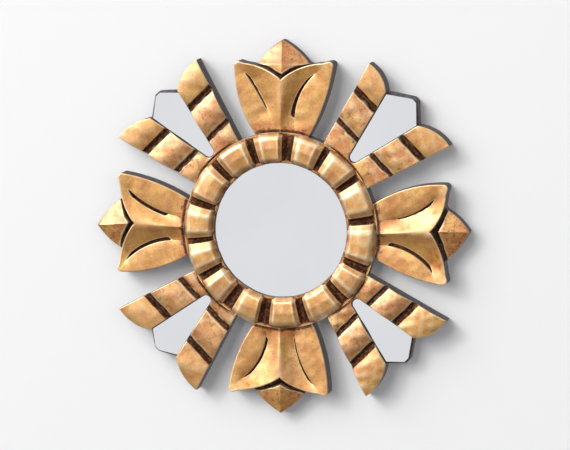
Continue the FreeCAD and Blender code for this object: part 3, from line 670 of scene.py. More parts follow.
class Nodes:
    """Short ways to build the nodes of a material or of the world."""

    def __init__(self, owner: bpy.types.ID) -> None:
        """Start with the nodes that the owner has.

        Args:
            owner: The material or the world.
        """
        owner.use_nodes = True
        self.owner = owner
        self.tree = owner.node_tree
        self.shader = self.tree.nodes.get("Principled BSDF")
        self.coordinates = self.node("ShaderNodeTexCoord").outputs
        self.place = self.coordinates["Object"]

    def node(self, kind: str, **inputs: object) -> bpy.types.Node:
        """Add a node and set or link its inputs by name.

        Args:
            kind: The node's kind.
            **inputs: Values or sockets, with an underscore for each space.

        Returns:
            The node.
        """
        made = self.tree.nodes.new(kind)
        for name, value in inputs.items():
            self.put(made.inputs[name.replace("_", " ")], value)
        return made

    def put(self, socket: Socket, value: object) -> None:
        """Link a socket if the value is a socket, and otherwise set it.

        Args:
            socket: The socket.
            value: A number, a colour without its alpha, a direction or a socket.
        """
        if isinstance(value, Socket):
            self.tree.links.new(value, socket)
        elif isinstance(value, tuple) and socket.type == "RGBA":
            socket.default_value = value + (1.0,)
        else:
            socket.default_value = value

    def noise(self, scale: float, detail: float = 4.0, roughness: float = 0.55,
              stretch: Optional[Place] = None) -> Socket:
        """Add noise from 0 to 1 on the piece.

        Args:
            scale: How many features lie in a metre.
            detail: Rounds of finer noise.
            roughness: How strong they are.
            stretch: Scale along each axis, where it isn't even.

        Returns:
            The noise.
        """
        place = self.place
        if stretch:
            place = self.node("ShaderNodeMapping", Vector=place, Scale=stretch).outputs["Vector"]
        made = self.node("ShaderNodeTexNoise", Vector=place, Scale=scale, Detail=detail,
                         Roughness=roughness)
        return made.outputs["Fac"]

    def speckle(self, kind: Speckle) -> Socket:
        """Add a noise with the range of it that shows."""
        noise = self.noise(kind.scale, kind.detail, kind.roughness)
        return self.between(noise, kind.low, kind.high, kind.least, kind.most)

    def attribute(self, name: str, output: str = "Fac") -> Socket:
        """Read an attribute of the mesh.

        Args:
            name: Name of the attribute.
            output: Kind of value that it holds.

        Returns:
            The attribute.
        """
        made = self.tree.nodes.new("ShaderNodeAttribute")
        made.attribute_name = name
        return made.outputs[output]

    def math(self, operation: str, first: object, second: object) -> Socket:
        """Work out one value from two, kept within 0 and 1.

        Args:
            operation: What is done.
            first: First value.
            second: Second value.

        Returns:
            The result.
        """
        made = self.tree.nodes.new("ShaderNodeMath")
        made.operation = operation
        made.use_clamp = True
        self.put(made.inputs[0], first)
        self.put(made.inputs[1], second)
        return made.outputs[0]

    def plus(self, first: object, second: object) -> Socket:
        """Sum of two values, at most 1."""
        return self.math("ADD", first, second)

    def times(self, first: object, second: object) -> Socket:
        """Product of two values, at most 1."""
        return self.math("MULTIPLY", first, second)

    def between(self, value: object, low: float, high: float, least: float = 0.0,
                most: float = 1.0, soft: bool = True) -> Socket:
        """Map a range of a value onto another range.

        Args:
            value: The value.
            low: Where its range starts.
            high: Where it ends.
            least: What low becomes.
            most: What high becomes.
            soft: Whether it rises along a soft curve and not evenly.

        Returns:
            The mapped value.
        """
        made = self.tree.nodes.new("ShaderNodeMapRange")
        if soft:
            made.interpolation_type = "SMOOTHSTEP"
        ends = {"Value": value, "From Min": low, "From Max": high, "To Min": least, "To Max": most}
        for name, number in ends.items():
            self.put(made.inputs[name], number)
        return made.outputs["Result"]

    def mix(self, factor: object, first: object, second: object) -> Socket:
        """Blend two colours.

        Args:
            factor: Share of the second.
            first: First colour.
            second: Second colour.

        Returns:
            The blend.
        """
        made = self.tree.nodes.new("ShaderNodeMix")
        made.data_type = "RGBA"
        for place, value in ((0, factor), (6, first), (7, second)):
            self.put(made.inputs[place], value)
        return made.outputs[2]

    def blend_shaders(self, factor: Socket, first: Socket, second: Socket) -> Socket:
        """Blend two shaders.

        Args:
            factor: Share of the second.
            first: First shader.
            second: Second shader.

        Returns:
            The blend.
        """
        made = self.tree.nodes.new("ShaderNodeMixShader")
        for socket, value in zip(made.inputs, (factor, first, second)):
            self.put(socket, value)
        return made.outputs[0]

    def finish(self, colour: object, metallic: float, roughness: object,
               specular: float = 0.5) -> None:
        """Set the shader's colour and how it shines.

        Args:
            colour: Base colour.
            metallic: How much of a metal it is.
            roughness: How matt it is.
            specular: How strongly it shines where it isn't a metal.
        """
        values = {"Base Color": colour, "Metallic": metallic, "Roughness": roughness,
                  "Specular IOR Level": specular}
        for name, value in values.items():
            self.put(self.shader.inputs[name], value)

    def bump(self, height: Socket, depth: float, strength: float) -> None:
        """Raise the shader's normal by a height of 0 to 1, where 1 stands for the depth."""
        made = self.node("ShaderNodeBump", Height=height, Distance=depth, Strength=strength)
        self.put(self.shader.inputs["Normal"], made.outputs["Normal"])


def linear(red: float, green: float, blue: float) -> Colour:
    """Scene colour of a screen colour of 0 to 255.

    Each channel is part / 12.92 near black, and ((part + 0.055) / 1.055)^2.4
    above that.

    Args:
        red: Red on the screen.
        green: Green on the screen.
        blue: Blue on the screen.

    Returns:
        The three channels from 0 to 1.
    """
    parts = [channel / 255 for channel in (red, green, blue)]
    return tuple(part / 12.92 if part <= 0.04045 else ((part + 0.055) / 1.055) ** 2.4
                 for part in parts)


@dataclass(frozen=True)
class GoldLeaf:
    """Gold leaf over red-brown size; crests get a painted highlight, hollows patina and painted
    shade.
    """

    pale: Colour = linear(246, 192, 98)
    deep: Colour = linear(200, 128, 40)
    ember: Colour = linear(212, 122, 36)
    tone: Colour = linear(46, 26, 14)
    umber: Colour = linear(110, 60, 24)
    size_red: Colour = linear(156, 80, 28)
    burnt: Colour = linear(128, 72, 32)
    # Pale cream painted on crests as a highlight
    painted_highlight: Colour = linear(255, 238, 196)
    metallic: float = 0.70
    specular: float = 0.35
    cloud: Speckle = Speckle(60, 0.34, 0.66, 3)
    mottle: Speckle = Speckle(230, 0.32, 0.70)
    mottle_share: float = 0.4
    ember_glow: Speckle = Speckle(105, 0.36, 0.62, roughness=0.58)
    ember_by_age: float = 0.9
    ember_everywhere: float = 0.05
    blotch: Speckle = Speckle(210, 0.54, 0.66, 5, 0.62)
    blotch_by_age: float = 0.65
    pit_noise: Triple = (330, 5, 0.62)
    pits_more_by_age: float = 0.09
    pit_range: Span = (0.60, 0.67)
    pits_by_age: Gate = (0.3, 1.0, 0.06, 0.75)
    dust: Speckle = Speckle(1300, 0.40, 0.62, 3, 0.6, most=0.2)
    freckle_noise: Triple = (620, 5, 0.66)
    freckle_drift: Tuple[float, float] = (90, 3)
    freckle_drift_share: float = 0.25
    freckle_range: Gate = (0.65, 0.76, 0.0, 0.42)
    # Hollows darken towards umber: partly the patina that gilding holds there, partly painted shade
    patina_and_shade_mottle: Speckle = Speckle(300, 0.30, 0.70, 5, 0.6)
    patina_and_shade_lift: float = 0.5
    patina_and_shade_range: Span = (0.14, 0.9)
    shadow: Speckle = Speckle(38, 0.50, 0.70, 2, most=0.22)
    # Stains in the carved cuts, and the dark line of painted shade on the ring's lip
    stain_and_shade: Speckle = Speckle(460, 0.42, 0.66, 5, 0.66)
    ragged_noise: Triple = (260, 5, 0.66)
    raggedness: float = 2.4
    stain_and_shade_range: Span = (0.30, 0.75)
    cut_range: Span = (0.02, 0.3)
    # Share of the painted highlight on crests
    crest_highlight_share: float = 0.6
    rough_range: Span = (0.52, 0.40)
    rough_in_cuts: float = 0.3
    varnish_range: Gate = (0.1, 0.6, 0.8, 0.1)
    varnish_roughness: float = 0.34
    varnish_index: float = 2.0
    grain_noise: Triple = (170, 3, 0.5)
    grain_stretch: Place = (1, 1, 0.25)
    grain_share: float = 0.6
    tooth_noise: Tuple[float, float] = (900, 3)
    relief_depth: float = 0.0006
    relief_strength: float = 0.6

    def build(self) -> bpy.types.Material:
        """Make the material: leaf, its wear, patina and painted shade, a painted highlight and
        varnish.

        Returns:
            The material.
        """
        n = Nodes(bpy.data.materials.new("gold_leaf"))
        hollow, crest, age, cut = (n.attribute(name) for name in ("hollow", "crest", "age", "cut"))
        mottle = n.speckle(self.mottle)
        gold = self.worn(n, self.laid(n, mottle, age), age)
        gold = self.toned_and_shaded(n, gold, hollow, cut)
        rough = n.between(mottle, 0, 1, *self.rough_range)
        # Crests are mixed towards pale cream: a painted highlight
        n.finish(n.mix(n.times(crest, self.crest_highlight_share), gold, self.painted_highlight), self.metallic,
                 n.plus(rough, n.times(cut, self.rough_in_cuts)), self.specular)
        varnish = {"Coat Weight": n.between(n.math("MAXIMUM", cut, hollow), *self.varnish_range),
                   "Coat Roughness": self.varnish_roughness, "Coat IOR": self.varnish_index}
        for name, value in varnish.items():
            n.put(n.shader.inputs[name], value)
        grain = n.noise(*self.grain_noise, self.grain_stretch)
        tooth = n.noise(*self.tooth_noise)
        relief = n.plus(n.times(grain, self.grain_share), n.times(tooth, 1 - self.grain_share))
        n.bump(relief, self.relief_depth, self.relief_strength)
        return n.owner

    def laid(self, n: Nodes, mottle: Socket, age: Socket) -> Socket:
        """Colour of the leaf as laid: clouds and mottle of two golds, with embers among them.

        Args:
            n: The material's nodes.
            mottle: The mottle.
            age: How aged the leaf is.

        Returns:
            The colour.
        """
        cloud = n.times(n.speckle(self.cloud), 1 - self.mottle_share)
        gold = n.mix(n.plus(cloud, n.times(mottle, self.mottle_share)), self.deep, self.pale)
        aged = n.plus(n.times(age, self.ember_by_age), self.ember_everywhere)
        return n.mix(n.times(n.speckle(self.ember_glow), aged), gold, self.ember)

    def worn(self, n: Nodes, gold: Socket, age: Socket) -> Socket:
        """Add blotches where the size shows, pits, dust and freckles.

        Args:
            n: The material's nodes.
            gold: Colour so far.
            age: How aged the leaf is.

        Returns:
            The colour.
        """
        blotch = n.times(n.speckle(self.blotch), n.times(age, self.blotch_by_age))
        gold = n.mix(blotch, gold, self.size_red)
        more = n.times(n.times(age, age), self.pits_more_by_age)
        pits = n.between(n.plus(n.noise(*self.pit_noise), more), *self.pit_range)
        gold = n.mix(n.times(pits, n.between(age, *self.pits_by_age)), gold, self.tone)
        gold = n.mix(n.speckle(self.dust), gold, self.umber)
        drift = n.times(n.noise(*self.freckle_drift), self.freckle_drift_share)
        freckled = n.plus(n.noise(*self.freckle_noise), drift)
        return n.mix(n.between(freckled, *self.freckle_range), gold, self.size_red)

    def toned_and_shaded(self, n: Nodes, gold: Socket, hollow: Socket, cut: Socket) -> Socket:
        """Add patina and painted shade in the hollows, broad shadows and ragged stains in the
        carved cuts.

        Args:
            n: The material's nodes.
            gold: Colour so far.
            hollow: How hollow the shape is.
            cut: How far inside a cut, or on the ring lip's line of painted shade.

        Returns:
            The colour.
        """
        # Hollows are darkened: partly patina, partly painted shade where less light would reach
        patina_and_shade = n.times(hollow, n.plus(n.speckle(self.patina_and_shade_mottle), self.patina_and_shade_lift))
        gold = n.mix(n.between(patina_and_shade, *self.patina_and_shade_range), gold, self.umber)
        gold = n.mix(n.speckle(self.shadow), gold, self.size_red)
        # Stains fill the cuts, and the dark line of painted shade along the ring's lip
        stain_and_shade = n.mix(n.speckle(self.stain_and_shade), self.tone, self.burnt)
        ragged = n.math("SUBTRACT", n.noise(*self.ragged_noise), 0.5)
        edge = n.plus(cut, n.times(ragged, self.raggedness))
        shown = n.times(n.between(edge, *self.stain_and_shade_range), n.between(cut, *self.cut_range))
        return n.mix(shown, gold, stain_and_shade)


# Ranges of a noise that colour and shine follow
COLOUR_RANGE = (0.35, 0.65)
SHINE_RANGE = (0.3, 0.7)


@dataclass(frozen=True)
class Grained:
    """A finish of one grain: two colours, and a roughness and relief that follow the grain."""

    name: str
    first: Colour
    second: Colour
    grain: Triple
    roughness: Span
    relief: Span
    stretch: Optional[Place] = None
    along_board: bool = False
    specular: float = 0.5

    def build(self) -> bpy.types.Material:
        """Make the material.

        Returns:
            The material.
        """
        n = Nodes(bpy.data.materials.new(self.name))
        if self.along_board:
            n.place = n.attribute("board", "Vector")
        grain = n.noise(*self.grain, self.stretch)
        n.finish(n.mix(n.between(grain, *COLOUR_RANGE), self.first, self.second), 0.0,
                 n.between(grain, *SHINE_RANGE, *self.roughness), self.specular)
        n.bump(grain, *self.relief)
        return n.owner


SAWN_PAINT = Grained("dark_sawn_paint", linear(52, 48, 52), linear(100, 96, 100), (300, 4, 0.6),
                     (0.5, 0.75), (0.0004, 0.5), (1, 1, 0.3), True)
BARE_WOOD = Grained("bare_wood", linear(186, 142, 98), linear(140, 96, 60), (90, 6, 0.6),
                    (0.6, 0.8), (0.0003, 0.4), (0.12, 1, 1), True, 0.3)
HARDBOARD = Grained("hardboard", linear(96, 66, 42), linear(128, 92, 60), (700, 8, 0.7),
                    (0.62, 0.82), (0.0002, 0.4), specular=0.3)
GREY_CARD = Grained("grey_card", linear(128, 124, 116), linear(158, 154, 146), (900, 8, 0.7),
                    (0.62, 0.82), (0.0002, 0.4), specular=0.3)


@dataclass(frozen=True)
class SilveredGlass:
    """Clean mirror that shows a pale room, with the faintest haze."""

    silver: Colour = linear(232, 234, 238)
    duller: float = 0.97
    haze: Span = (0.042, 0.06)
    breath: Span = (14, 2)

    def build(self) -> bpy.types.Material:
        """Make the material.

        Returns:
            The material.
        """
        n = Nodes(bpy.data.materials.new("mirror_glass"))
        breath = n.noise(*self.breath)
        dull = tuple(self.duller * part for part in self.silver)
        n.finish(n.mix(n.between(breath, *COLOUR_RANGE), dull, self.silver), 1.0,
                 n.between(breath, *SHINE_RANGE, *self.haze))
        return n.owner


@dataclass(frozen=True)
class PlatedSteel:
    """Plated steel with fine drawing marks and duller patches."""

    name: str
    bright: Colour
    dull: Colour
    drawn: Triple = (800, 3, 0.6)
    stretch: Place = (0.2, 1, 1)
    patch: Speckle = Speckle(120, 0.4, 0.62)
    roughness: Span = (0.24, 0.40)
    relief: Span = (0.00008, 0.4)

    def build(self) -> bpy.types.Material:
        """Make the material.

        Returns:
            The material.
        """
        n = Nodes(bpy.data.materials.new(self.name))
        drawn = n.noise(*self.drawn, self.stretch)
        n.finish(n.mix(n.speckle(self.patch), self.bright, self.dull), 1.0,
                 n.between(drawn, *SHINE_RANGE, *self.roughness))
        n.bump(drawn, *self.relief)
        return n.owner


class Finishes:
    """The materials of the whole mirror, made once."""

    def __init__(self) -> None:
        """Make every material."""
        self.carved = [GoldLeaf().build(), SAWN_PAINT.build(), BARE_WOOD.build()]
        zinc = PlatedSteel("zinc_plate", linear(206, 200, 184), linear(150, 148, 142))
        nickel = PlatedSteel("nickel_plate", linear(216, 210, 198), linear(160, 154, 146))
        self.slots: Dict[Slot, bpy.types.Material] = {
            Slot.MIRROR: SilveredGlass().build(),
            Slot.BOARD: HARDBOARD.build(),
            Slot.CARD: GREY_CARD.build(),
            Slot.FIXING: zinc.build(),
            Slot.HANGER: nickel.build(),
        }

    def stand_for(self, made: Object, node: str, body: str = "mirror") -> None:
        """Let a piece stand for a node and on its body.

        Args:
            made: The piece.
            node: Name of the node that it replaces.
            body: Body that it rides on.
        """
        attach(made, body)
        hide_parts(node)
        log.info("%s: %d faces", made.name, len(made.data.polygons))

    def dress_carving(self, made: Object, node: str, marks: Marks, turn: float) -> None:
        """Finish a carved piece.

        Args:
            made: The carved piece.
            node: Name of the node that it replaces.
            marks: Tells how far points lie inside a carved cut, and how aged they are.
            turn: Angle of the board's grain, in degrees.
        """
        for place, material in enumerate(self.carved):
            made.data.materials[place] = material
        Wear().write(made, marks, turn)
        shade(made)
        self.stand_for(made, node)

    def dress_metal(self, made: Object, node: str, slot: Slot, body: str = "mirror") -> None:
        """Finish a metal piece.

        Args:
            made: The metal piece.
            node: Name of the node that it replaces.
            slot: Its material slot.
            body: Body that it rides on.
        """
        made.data.materials.clear()
        made.data.materials.append(self.slots[slot])
        plain = np.zeros(len(made.data.polygons), np.int32)
        made.data.polygons.foreach_set("material_index", plain)
        shade(made, METAL_CREASE)
        self.stand_for(made, node, body)

    def dress_node(self, node: str, slot: Slot) -> None:
        """Give a solid that stays as it is its finish.

        Args:
            node: Name of the node.
            slot: Its material slot.
        """
        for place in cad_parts[node].material_slots:
            place.material = self.slots[slot]
        log.info("%s: kept solid", node)


# Tongues

SCREW_HOLE = ((0, -1), (3.1, -1), (3.1, 1.8), (1.6, 1.8), (1.6, 9), (0, 9))
TONGUE_FLOOR = 0.03
TONGUE_LAP = 4.0


def tongue_of(name: str, half: float, turn: float) -> Object:
    """Make the tongue of a carved piece, with its counterbored screw hole.

    It is a plain block from the seat inwards, a hair clear of the plane of
    the back, so that no two faces lie in one another.

    Args:
        name: Name of the piece.
        half: Half width of the tongue.
        turn: Where the piece stands, in degrees from +X towards +Z.

    Returns:
        The tongue.
    """
    outline = plank(RING_R - TONGUE_LENGTH, RING_R + TONGUE_LAP, half)
    skin = slab_skin(outline, TONGUE_FLOOR, TONGUE_TOP, Surface.BARE)
    tongue = new_object(name + "_tongue", skin, turn)
    hole = turned_skin(SCREW_HOLE, SCREW_PLACE, 40, Surface.BARE)
    combined(tongue, [new_object(name + "_tongue_hole", hole, turn)], Cut.TAKE_AWAY)
    return tongue


# Petals

class Spot(Enum):
    """Places on a lobe, as shares of its reach and of its span."""

    WAIST_CCW = (0.785, 0.92)
    WAIST_CW = (0.785, 0.858)
    CORNER_FOOT = (0.972, 1.0)
    CORNER = (0.9935, 0.966)
    CORNER_HEAD = (0.998, 0.90)
    CREASE = (0.988, 0.79)
    TOP = (0.972, 0.50)
    OUTSIDE_SLIT = (0.75, 0.9)
    POINT_SHOULDER = (0.987, 0.50)
    POINT_FLARE = (0.975, 0.58)
    POINT_ROOT = (0.84, 0.24)


@dataclass
class Lobe:
    """One lobe of a petal: reach, span, half width at the base, and its slit.

    The slit is an arc through three places, given out from the axis and
    aside, with its width at the ring's end and at the outer end.
    """

    reach: float
    span: float
    base: float
    slit: Tuple[Point, Point, Point]
    slit_widths: Span


@dataclass
class LilyPetal:
    """A petal of one board: two slit lobes, the ridge between them and the gabled point behind."""

    name: str
    turn: float
    reach: float
    tip_side: float
    cleft: Point
    lobes: Dict[Side, Lobe]
    seed: int
    hollow_height: float
    gouge_width: float = 2.6

    ridge_height: float = 19.0
    ridge_base_height: float = 17.6
    ridge_full_at: float = 0.62
    ridge_softness: Triple = (0.3, 7.5, 2.6)
    soft_until: float = 1.2
    edge_height: float = 15.8
    edge_roll: float = 0.9
    scoop_power: float = 1.5
    hollow_gate: Gate = (-0.42, 0.22, 0.74, 1.30)
    lip_rise: float = 1.7
    lip_gate: Gate = (-0.10, 0.16, 0.80, 1.04)
    lip_width: float = 5.0
    wall_place: float = -0.1
    wall_width: float = 0.12
    steepest: float = 30.0
    outward_lean: float = 1.6
    level_at: float = 0.6
    slit_floor: float = 10.4
    slit_squareness: float = 5
    slit_run_out: float = 0.4
    slit_ends: Tuple[Point, Point] = ((0.05, 0.5), (0.16, 0.7))
    no_width: float = 1e-6
    knife_depth: float = 0.09

    edge_zone: float = 1.4
    edge_counts: Tuple[int, int, int] = (90, 17, 60)
    corner_middle: int = 8
    row_count: int = 120
    base_count: int = 40
    search_count: int = 240
    slit_columns: Tuple[Tuple[float, int], ...] = ((-4.2, 33), (0.0, 19), (0.9, 5))
    outer_columns: Tuple[int, float] = (36, 26)

    point_ridge_height: float = 16.0
    point_edge_height: float = 10.6
    point_tip_height: float = 12.4
    point_fall: Span = (0.85, 1.02)
    point_gable_power: float = 0.95
    point_bulge: float = 1.5
    point_roll: float = 0.7
    point_floor: float = 0.015
    tip_half: float = 0.35
    point_rows: Tuple[int, float, float] = (90, 50, 1.2)
    point_columns: Tuple[int, float, float] = (31, 20, 1.2)
    trench_floor: float = 10.2
    trench_slope: float = 2.6
    gouge_waver: float = 0.5
    point_waver: float = 0.12
    gouge_seed: int = 90
    point_seed: int = 50

    stain_margin: Span = (0.6, 0.9)
    stain_top: Triple = (0.6, -0.4, 0.6)
    behind_lobes: Span = (0.05, 6)
    gouge_stain: Span = (-0.4, 2.2)
    gouge_stain_top: float = 14.6
    root_stain: Triple = (0.8, 1.0, 4.6)
    root_age: Span = (2, 14)
    point_age: float = 0.75
    least_age: float = 0.10

    def at(self, side: Side, spot: Spot) -> Point:
        """Point at a named place of a lobe."""
        lobe = self.lobes[side]
        return spot.value[0] * lobe.reach, side * spot.value[1] * lobe.span

    def base_point(self, side: Side) -> Point:
        """Where a lobe's outer edge starts at the ring."""
        half = self.lobes[side].base
        return math.sqrt(SEAT_R ** 2 - half ** 2), side * half

    def corner(self, side: Side) -> Array:
        """Rounded corner of a lobe, from its flank to its top."""
        spots = (Spot.CORNER_FOOT, Spot.CORNER, Spot.CORNER_HEAD)
        return arc_points(*(self.at(side, spot) for spot in spots), self.edge_counts[1])

    def outer_edge(self, side: Side) -> Array:
        """Trace a lobe's edge from the ring to the middle of its rounded corner.

        Args:
            side: Which lobe.

        Returns:
            Points of the edge.
        """
        waist = self.at(side, Spot.WAIST_CCW if side is Side.CCW else Spot.WAIST_CW)
        foot = self.at(side, Spot.CORNER_FOOT)
        flank = arc_points(self.base_point(side), waist, foot, self.edge_counts[0])
        return joined(flank, self.corner(side)[:self.corner_middle + 1])

    def top_edge(self, side: Side) -> Array:
        """Trace a lobe's edge from the cleft to the middle of its rounded corner.

        Args:
            side: Which lobe.

        Returns:
            Points of the edge.
        """
        corner, crease = self.corner(side), self.at(side, Spot.CREASE)
        top = arc_points(self.cleft, self.at(side, Spot.TOP), crease, self.edge_counts[2])
        return joined(top, np.array([crease, corner[-1]]), corner[:self.corner_middle - 1:-1])

    def brow(self) -> Array:
        """Top edges of both lobes as one path."""
        return np.concatenate([self.top_edge(Side.CW)[::-1], self.top_edge(Side.CCW)])

    def slit_place(self, points: Array, side: Side) -> Tuple[Array, Array]:
        """Place points against the slit's outer wall, which is an arc of a circle.

        The circle's centre is equally far from the arc's three places.

        Args:
            points: Points in the plane.
            side: Which lobe.

        Returns:
            How far outside the arc each point is, and at which share along it.
        """
        slit = [(out, side * aside) for out, aside in self.lobes[side].slit]
        arc = arc_points(*slit, count=3)
        (ax, ay), (bx, by), (cx, cy) = arc
        middle = np.linalg.solve(
            2 * np.array([[bx - ax, by - ay], [cx - ax, cy - ay]]),
            np.array([bx**2 - ax**2 + by**2 - ay**2, cx**2 - ax**2 + cy**2 - ay**2]))
        gap = points - middle
        radius = math.dist(arc[0], middle)
        start, end = (math.atan2(y - middle[1], x - middle[0]) for x, y in (arc[0], arc[2]))
        angle = np.arctan2(gap[..., 1], gap[..., 0])
        share = turned_within(angle - start) / turned_within(end - start)
        outwards = radius - np.hypot(gap[..., 0], gap[..., 1])
        to_edge = middle - np.array(self.at(side, Spot.OUTSIDE_SLIT))
        return (-outwards if np.hypot(*to_edge) > radius else outwards), share

    def half_plan(self, side: Side) -> Array:
        """Lay out one lobe: rows run out from the ring, columns from the ridge to the edge.

        Columns crowd beside the slit, whose outer wall is a column of its own,
        and towards the edge.

        Args:
            side: Which lobe.

        Returns:
            Grid of points in the plane.
        """
        s = crowded(self.row_count, self.cleft[0] - SEAT_R, self.edge_zone)
        near = along(np.array([(SEAT_R, 0), self.cleft]), s)
        far = along(self.outer_edge(side), s)
        v = np.linspace(0, side * self.lobes[side].base, self.base_count)
        low = np.stack([np.sqrt(SEAT_R ** 2 - v ** 2), v], -1)
        high = self.top_edge(side)
        even = np.linspace(0, 1, self.search_count)
        outwards, _ = self.slit_place(coons(near, far, low, high, s, even), side)
        zones, start = [np.zeros((len(s), 1))], np.zeros((len(s), 1))
        for offset, count in self.slit_columns:
            end = np.array([np.interp(offset, row, even) for row in outwards])[:, None]
            zones.append(start + (end - start) * np.linspace(0, 1, count + 1)[None, 1:])
            start = end
        outer = crowded(*self.outer_columns, self.edge_zone, both=False)
        zones.append(start + (1 - start) * outer[None, 1:])
        return coons(near, far, low, high, s, np.concatenate(zones, 1))

    def lobe_height(self, points: Array, side: Side) -> Array:
        """Work out the height of a lobe's face.

        Between ridge and slit the face is a scoop: its height falls from the
        ridge's to the hollow's as (1 - t)^p, where t is the share of the way
        from ridge to slit. Outside the slit stands a lip, and from there the
        band rises to the edge's height as 1 - exp(-d / w), d the distance out.
        Past the slit's ends the hollow and the lip run out. The whole lobe
        leans, so that it stands higher outwards. The slit has a flat floor.

        Args:
            points: Points in the plane.
            side: Which lobe.

        Returns:
            Height at each point.
        """
        out = (points[..., 0] - SEAT_R) / (self.cleft[0] - SEAT_R)
        from_ridge = np.abs(points[..., 1] - self.cleft[1] * np.clip(out, 0, 1))
        sharpest, softest, power = self.ridge_softness
        soft = sharpest + softest * np.clip(out, 0, self.soft_until) ** power
        from_ridge = np.sqrt(from_ridge ** 2 + soft ** 2) - soft
        outwards, share = self.slit_place(points, side)
        t = from_ridge / (from_ridge + np.maximum(-outwards, 0) + self.no_width)
        rise = self.ridge_height - self.ridge_base_height
        ridge = self.ridge_base_height + rise * eased(out, 0, self.ridge_full_at)
        shown = gated(share, self.hollow_gate)
        low = self.edge_height - (self.edge_height - self.hollow_height) * shown
        inner = low + (ridge - low) * (1 - t) ** self.scoop_power
        from_slit = np.exp(-np.maximum(outwards, 0) / self.lip_width)
        lip = self.lip_rise * gated(share, self.lip_gate)
        band = self.edge_height - (self.edge_height - low - lip) * from_slit
        steepness = (outwards - self.wall_place) / self.wall_width
        step = 1 / (1 + np.exp(-np.clip(steepness, -self.steepest, self.steepest)))
        face = inner + (band - inner) * step + self.outward_lean * (out - self.level_at)
        width, opened = self.slit_width(side, share)
        across = np.abs(2 * (outwards + width / 2) / width)
        cut = np.clip(1 - across ** self.slit_squareness, 0, 1) * opened ** self.slit_run_out
        return face - cut * (face - self.slit_floor)

    def slit_width(self, side: Side, share: Array) -> Tuple[Array, Array]:
        """Work out the slit's width at shares along it.

        It runs evenly between its two widths, and closes as a power of the
        share that is left at either end.

        Args:
            side: Which lobe.
            share: Shares of the slit's length.

        Returns:
            Its width, and how open it is from 0 to 1.
        """
        near, far = self.lobes[side].slit_widths
        (near_run, near_power), (far_run, far_power) = self.slit_ends
        opened = (np.clip(share / near_run, 0, 1) ** near_power
                  * np.clip((1 - share) / far_run, 0, 1) ** far_power * ((share > 0) & (share < 1)))
        return (near + (far - near) * np.clip(share, 0, 1)) * opened + self.no_width, opened

    def lobes_block(self) -> Object:
        """Make both lobes and the ridge as one block.

        Returns:
            The block.
        """
        halves = {side: self.half_plan(side) for side in Side}
        plan = np.concatenate([halves[Side.CW][:, :0:-1], halves[Side.CCW]], 1)
        split = halves[Side.CW].shape[1] - 1
        heights = np.concatenate([self.lobe_height(plan[:, :split], Side.CW),
                                  self.lobe_height(plan[:, split:], Side.CCW)], 1)
        edge = joined(self.outer_edge(Side.CCW), self.top_edge(Side.CCW)[::-1],
                      self.top_edge(Side.CW), self.outer_edge(Side.CW)[::-1])
        heights -= rolled(distance_to(plan, edge), self.edge_roll)
        heights += knife_waver(plan[..., 0], plan[..., 1], self.seed, self.knife_depth)
        return new_object(self.name + "_carved", block_skin(plan, heights, 0.0), self.turn)

    def point_edge(self, side: Side) -> Array:
        """Trace the point's edge from where it leaves the lobe to its tip.

        Args:
            side: Which side.

        Returns:
            Points of the edge.
        """
        root, flare, shoulder = (np.array(self.at(side, spot)) for spot in (
            Spot.POINT_ROOT, Spot.POINT_FLARE, Spot.POINT_SHOULDER))
        tip = np.array((self.reach, self.tip_side + side * self.tip_half))
        run = tip - shoulder
        bulge = self.point_bulge * side * np.array((-run[1], run[0])) / np.hypot(*run)
        flank = arc_points(shoulder, (shoulder + tip) / 2 + bulge, tip, self.edge_counts[2])
        return joined(np.array([root, flare, shoulder]), flank)

    def point_block(self) -> Object:
        """Make the gabled point: two flat facets that meet in a ridge, gouged deep by the lobes.

        Its height falls from the ridge's to the edge's as a power of the share
        of the way across, and beside the lobes it is no higher than a trench
        that climbs evenly away from them.

        Returns:
            The point.
        """
        edges = {side: self.point_edge(side) for side in Side}
        s = crowded(*self.point_rows)
        t = crowded(*self.point_columns)[None, :, None]
        left, right = along(edges[Side.CW], s), along(edges[Side.CCW], s)
        middle = (left + right) / 2
        middle[:, 1] = np.interp(middle[:, 0], [self.cleft[0], self.reach],
                                 [self.cleft[1], self.tip_side])
        plan = np.concatenate([left[:, None] * (1 - t) + middle[:, None] * t,
                               (middle[:, None] * (1 - t) + right[:, None] * t)[:, 1:]], 1)
        u, v = plan[..., 0], plan[..., 1]
        fall = self.point_ridge_height - self.point_tip_height
        ridge = self.point_ridge_height - fall * eased(u / self.reach, *self.point_fall)
        across = np.concatenate([1 - t[0, :, 0], t[0, 1:, 0]])[None]
        heights = ridge - (ridge - self.point_edge_height) * across ** self.point_gable_power
        gouge = self.gouge_width + knife_waver(u, v, self.seed + self.gouge_seed, self.gouge_waver)
        past_gouge = np.maximum(distance_to(plan, self.brow()) - gouge, 0)
        heights = np.minimum(heights, self.trench_floor + self.trench_slope * past_gouge)
        rim = np.concatenate([edges[Side.CW], edges[Side.CCW][::-1]])
        heights -= rolled(distance_to(plan, rim), self.point_roll)
        heights += knife_waver(u, v, self.seed + self.point_seed, self.point_waver)
        skin = block_skin(plan, heights, self.point_floor)
        return new_object(self.name + "_point", skin, self.turn)

    def build(self, finishes: Finishes, recess: Sequence[Object]) -> None:
        """Make the petal and dress it.

        Args:
            finishes: The mirror's materials.
            recess: Solids to cut out of its back.
        """
        petal = self.lobes_block()
        tongue = tongue_of(self.name, PETAL_TONGUE_HALF, self.turn)
        combined(petal, [self.point_block(), tongue], Cut.JOIN)
        combined(petal, recess, Cut.TAKE_AWAY)
        finishes.dress_carving(petal, self.name, self.marks, self.turn)

